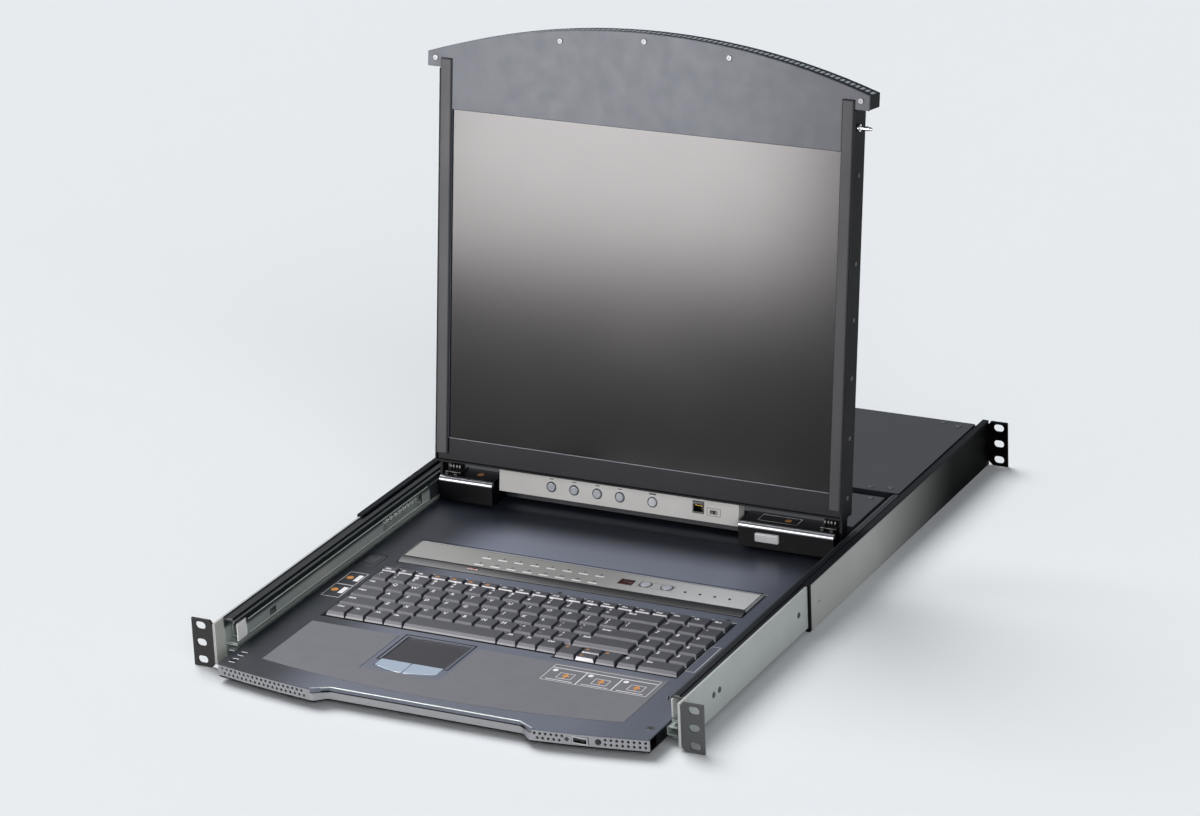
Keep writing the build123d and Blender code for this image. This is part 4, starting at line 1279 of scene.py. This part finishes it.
@dataclass
class Keyboard(Assembly):
    """Six rows of key caps and a keypad, with printed legends; each row rides on a body of its own.

    Attributes:
        edge_mm: the rounding of a cap's edges.
        legend_mm: the size of a letter.
        word_share: the size of a word's letters against a single one's.
        pair_share: the size of two stacked signs against a single one's.
        margins: how far a legend's middle lies from its cap's left and rear edges.
        skirt_slope: faces whose normal points further forward than this are skirts.
        rows: each row's legends, in reading order.
        tinted: the places of the amber legends in a row.
        shifted: the upper sign of each two-sign key, by its lower sign.
    """

    edge_mm: float = 0.5
    legend_mm: float = 6.0
    word_share: float = 0.66
    pair_share: float = 0.8
    margins: tuple[float, float] = (4.6, 5.2)
    skirt_slope: float = -0.35
    rows: dict[str, list[str]] = field(default_factory=lambda: {
        "keys_function_row": ["Esc"] + [f"F{n}" for n in range(1, 13)] + ["Nm", "Prt", "Ins", "Del"],
        "keys_number_row": list("`1234567890-=") + ["Back"],
        "keys_upper_row": ["Tab"] + list("QWERTYUIOP[]\\"),
        "keys_home_row": ["Caps"] + list("ASDFGHJKL;'") + ["Enter"],
        "keys_lower_row": ["Shift"] + list("ZXCVBNM,./") + ["Shift"],
        "keys_bottom_row": ["Ctrl", "Fn", "Alt", "Mn", "", "Alt", "Fn", "Ctrl", "<", "^", "v", ">"],
        "keys_keypad": ["Hm", "Up", "End"] + list("/*-7894561230") + ["Ent"],
    })
    tinted: dict[str, tuple[int, ...]] = field(default_factory=lambda: {
        "keys_function_row": (3, 4, 5, 6), "keys_bottom_row": (8, 9, 10, 11)})
    shifted: dict[str, str] = field(default_factory=lambda: dict(zip("`1234567890-=[];',./\\",
                                                                     "~!@#$%^&*()_+{}:\"<>?|")))

    def build(self) -> None:
        """Round the caps and print their legends, row by row."""
        for node, names in self.rows.items():
            body = self.carrier(node)
            copy = self.shop.copy(node)
            seats = [extent(points) for points in islands(copy)]
            bevel(copy, self.edge_mm, 2, 25)
            copy.name = node + "_caps"
            paint(copy, Finishes.key)
            # Forward-facing faces take the skirt finish, whose lighter tone is painted light on the caps'
            # fronts
            copy.data.materials.append(Finishes.skirt.build())
            for face in copy.data.polygons:
                face.material_index = 1 if face.normal.y < self.skirt_slope else 0
            self.shop.add(copy, None, body, "key_plastic", node)
            self.print_row(node, body, seats, names)

    def carrier(self, node: str) -> str:
        """Return the body that carries a row."""
        bodies = self.shop.frame["record"]["behaviour"]["bodies"]
        return next(name for name, nodes in bodies.items() if node in nodes)

    def print_row(self, node: str, body: str, seats: list[tuple[Vector, Vector]], names: list[str]) -> None:
        """Print the legends of one row, in reading order.

        Args:
            node: the CAD node of the row.
            body: the body that carries it.
            seats: each cap's lowest and highest corner.
            names: each cap's legend.
        """
        band, arrows_from = 6, 55
        ordered = sorted(seats, key=lambda s: (-round((s[0].y + s[1].y) / 2 / band), s[0].x))
        if node == "keys_bottom_row":
            main = sorted((s for s in seats if s[0].x < arrows_from), key=lambda s: s[0].x)
            arrows = sorted((s for s in seats if s[0].x >= arrows_from), key=lambda s: (s[0].x, -s[0].y))
            ordered = main + arrows
        prints, tinted = [], []
        for number, ((low, high), name) in enumerate(zip(ordered, names)):
            if not name:
                continue
            size = self.legend_mm if len(name) == 1 else self.legend_mm * self.word_share
            top = high.z + 0.03
            x = low.x + self.margins[0] + (0.0 if len(name) == 1 else 0.9 * len(name) - 0.9)
            y = high.y - self.margins[1]
            if name in self.shifted and node != "keys_keypad":
                spots = [(self.shifted[name], x, y + 0.4), (name, x, y - 5.0)]
                size *= self.pair_share
            else:
                spots = [(name, x, y)]
            for text, u, v in spots:
                printed = letters("legend", text, size, at(u, v, top))
                (tinted if number in self.tinted.get(node, ()) else prints).append(printed)
        self.lay(node + "_legends", prints, Finishes.legend, "key_plastic", body)
        if tinted:
            self.lay(node + "_amber_legends", tinted, Finishes.amber, "key_plastic", body)


@dataclass
class Carriage(Assembly):
    """The screen's carriage with its hinge blocks, bright trims and release button."""

    body: str = "lcd_carriage"

    def build(self) -> None:
        """Dress the carriage."""
        f = Finishes
        self.soften("carriage_frame", 0.4, f.cover, "black_paint", 1)
        self.soften("hinge_blocks", 0.5, f.block, "black_plastic")
        self.trims()
        self.shop.coat(f.chrome, "hinge_pins")
        self.soften("release_button", 0.8, f.release, "black_plastic", body="release_button")
        self.panels()
        self.hardware()
        self.leaf_screws()

    def panels(self) -> None:
        """Lay the glossy plates on the blocks, with a bare printed field."""
        low, high = span("hinge_blocks")
        plates = [box("plate", (x0, low.y + 5.5, high.z), (x1, high.y - 1.0, high.z + 0.25), 0.15)
                  for x0, x1 in ((-194.0, -146.0), (109.0, 194.0))]
        self.lay("block_plates", plates, Finishes.block, "black_plastic")
        frame = outline(120.0, low.y + 9, 158.0, high.y - 5, high.z + 0.26, 0.5)
        self.lay("block_label", frame, Finishes.legend, "film")
        middle = (low.y + high.y) / 2 + 2
        signs = [disc("sign", (x, middle, high.z + 0.28), 3.2, 0.06, sides=20) for x in (-162.0, 147.0)]
        self.lay("block_signs", signs, Finishes.amber, "film")

    def trims(self) -> None:
        """Round the blocks' top front edges with satin trims."""
        low, high = span("block_trims")
        rods = [disc("trim", ((x0 + x1) / 2, low.y + 4.0, high.z - 4.0), 3.98, x1 - x0 - 0.4, Axis.X, 48, 0.3)
                for x0, x1 in ((low.x, -142.4), (105.0, high.x))]
        self.shop.add(joined("satin_trims", rods), Finishes.edge_trim, self.body, "chrome", "block_trims")

    def hardware(self) -> None:
        """Stack the hinge's friction washers, arms and nuts at the outer ends of the blocks."""
        pieces, nuts = [], []
        first_washer, washer_pitch, first_nut, nut_pitch = 183.0, 3.2, 183.5, 9.0
        for side in (-1, 1):
            for k in range(4):
                place = (side * (first_washer + washer_pitch * k), 379.0, 25.5)
                pieces.append(disc("washer", place, 4.6 - 0.4 * (k % 2), 2.2, Axis.X, 24, 0.4))
            pieces.append(box("arm", (side * 180.0, 370.0, 21.4), (side * 196.0, 387.0, 23.4), 0.6))
            for k in range(2):
                place = (side * (first_nut + nut_pitch * k), 367.0, 22.4)
                nuts.append(disc("nut", place, 1.9, 1.8, Axis.Z, 6, 0.2))
        self.lay("hinge_hardware", pieces, Finishes.black, "black_plastic")
        self.lay("hinge_nuts", nuts, Finishes.screw, "zinc")

    def leaf_screws(self) -> None:
        """Screw the hinge hardware down beside each block."""
        top = span("carriage_frame")[1].z + 0.9
        seats = [(Vector((side * 192.0, 455.0, top)), Vector((0, 0, 1)), 2.8) for side in (-1, 1)]
        self.shop.add(Screw().copies("carriage_screws", seats), Finishes.screw, self.body, "zinc")


@dataclass
class Lid(Assembly):
    """The folding screen: shell, bezel, screen, bars, handle and control strip."""

    body: str = "lcd_lid"

    def build(self) -> None:
        """Dress the lid."""
        f = Finishes
        self.lean = lid_place(self.shop.frame)
        self.soften("lid_shell", 0.6, f.shell, "lid_paint")
        self.soften("lid_bezel", 0.5, f.bezel, "bezel_paint")
        self.soften("lcd_panel", 0.15, f.screen, "screen", 1)
        self.soften("side_bars", 1.2, f.side_bar, "bezel_paint", 3)
        self.soften("upper_handle", 0.5, f.lid_plate, "navy_paint")
        self.soften("control_strip", 0.5, f.strip, "silver_plastic")
        self.soften("modular_socket", 0.2, f.black, "black_plastic", 1)
        self.soften("recovery_switch", 0.3, f.black, "black_plastic", 1, "recovery_switch")
        self.soften("hinge_leaves", 0.4, f.shell, "black_paint", 1)
        for name in (f"osd_button_{number}" for number in range(1, 5)):
            self.soften(name, 0.8, f.grey_button, "button_blue", 3, name)
        self.soften("power_button", 0.8, f.pale_button, "button_blue", 3, "power_button")
        self.screws()
        self.gasket()
        self.strip_print()
        self.socket_contacts()
        self.arch()

    def screws(self) -> None:
        """Set the handle's and the sides' screws and the lock pin."""
        screw = Screw(head_h=0.9)
        widest, inner_face = 2.95, 206.0
        seats = [seat for seat in screw.seats(self.shop, "lid_fasteners", self.lean.inverted(), widest)
                 if abs(seat[0].x) < inner_face or abs(seat[1].y) > 0.5]
        heads = screw.copies("lid_screw_heads", seats, self.lean)
        self.shop.add(heads, Finishes.screw, self.body, "zinc", "lid_fasteners")
        pin = [disc("pin", (x, -5.5, 372.5), radius, length, Axis.X, 20, 0.4) for x, radius, length in (
            (204.1, 3.4, 2.6), (209.0, 1.7, 12.4), (211.5, 2.3, 1.6), (215.6, 1.2, 1.8))]
        self.lay("lock_pin_rod", pin, Finishes.chrome, "chrome")

    def gasket(self) -> None:
        """Draw the thin light edge of the screen opening."""
        x, low, high, face = 190.35, 47.0, 351.2, -9.62
        lines = [box("edge", (-x, face, low - 0.5), (x, face + 0.3, low)),
                 box("edge", (-x - 0.3, face, low), (-x, face + 0.3, high)),
                 box("edge", (x, face, low), (x + 0.3, face + 0.3, high))]
        self.lay("screen_edge", lines, Finishes.grey_button, "bezel_paint")

    def strip_print(self) -> None:
        """Print the marks of the control strip and ring its buttons."""
        face = -6.1
        marks, rings = [], []
        for x in (-85.6, -62.5, -39.1, -16.3, 16.3):
            rings.append(ring((x, face - 0.05, 13.5), 4.75, 0.28, (math.pi / 2, 0, 0)))
            if x < 0:
                marks.append(box("mark", (x - 2.2, face - 0.06, 20.6), (x + 2.2, face, 21.4)))
        marks.append(box("mark", (12.8, face - 0.06, 20.2), (19.8, face, 21.8)))
        left, foot = 70.3, 8.9
        for dx, dz, wide, tall in ((0, 0, 13.5, 0.4), (0, 7.0, 13.5, 0.4), (0, 0, 0.4, 7.0),
                                   (13.1, 0, 0.4, 7.4)):
            x, z = left + dx, foot + dz
            marks.append(box("mark", (x, face - 0.06, z), (x + wide, face, z + tall)))
        self.lay("strip_marks", marks, Finishes.black, "film")
        self.lay("button_rings", rings, Finishes.key, "black_plastic", angle=80)

    def socket_contacts(self) -> None:
        """Set the eight gilt contacts in the modular socket."""
        starts = [57.9 + k * 1.02 for k in range(8)]
        wires = [box("contact", (x, -4.6, 16.2), (x + 0.4, 1.0, 16.7)) for x in starts]
        self.lay("socket_contacts", wires, Finishes.gold, "chrome")

    def arch(self) -> None:
        """Line the arched handle's return wall in black and lay light slots for its row of vents."""
        radius, top, half, steps = 687.0, 436.8, 215.4, 44
        sweep = math.asin((half - 1.0) / (radius - 1.0))
        bands, slots = [], []
        for k in range(-steps, steps):
            angle = sweep * (k + 0.5) / steps
            reach = radius - 0.95
            place = Vector((reach * math.sin(angle), 0, top - radius + reach * math.cos(angle))) * MM
            turn = Matrix.Translation(place) @ Matrix.Rotation(angle, 4, "Y")
            band = box("band", (-2.6, -9.4, -0.1), (2.6, 12.9, 0.1))
            band.matrix_world = turn
            slot = box("vent", (-1.5, -1.2, 0.0), (1.5, 6.8, 0.16))
            slot.matrix_world = turn
            bands.append(band)
            slots.append(slot)
        for side in (-1, 1):
            x0, x1 = sorted((side * (half - 1.0), side * (half - 0.8)))
            bands.append(box("band", (x0, -9.4, 389.4), (x1, 12.9, 401.6)))
        self.lay("arch_wall", bands, Finishes.shell, "black_paint")
        self.lay("arch_vents", slots, Finishes.grey_button, "black_paint")


def main() -> None:
    """Build every piece of the scene in order."""
    logging.basicConfig(level=logging.INFO, format="%(message)s")
    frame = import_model()
    shop = Workshop(frame)
    Studio().build()
    for kind in (Chassis, Drawer, StatusPanel, Keyboard, Carriage, Lid):
        kind(shop).build()
        LOG.info("finished %s", kind.__name__)
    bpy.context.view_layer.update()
    LOG.info("%d pieces", shop.count)


if __name__ == "__main__":
    main()
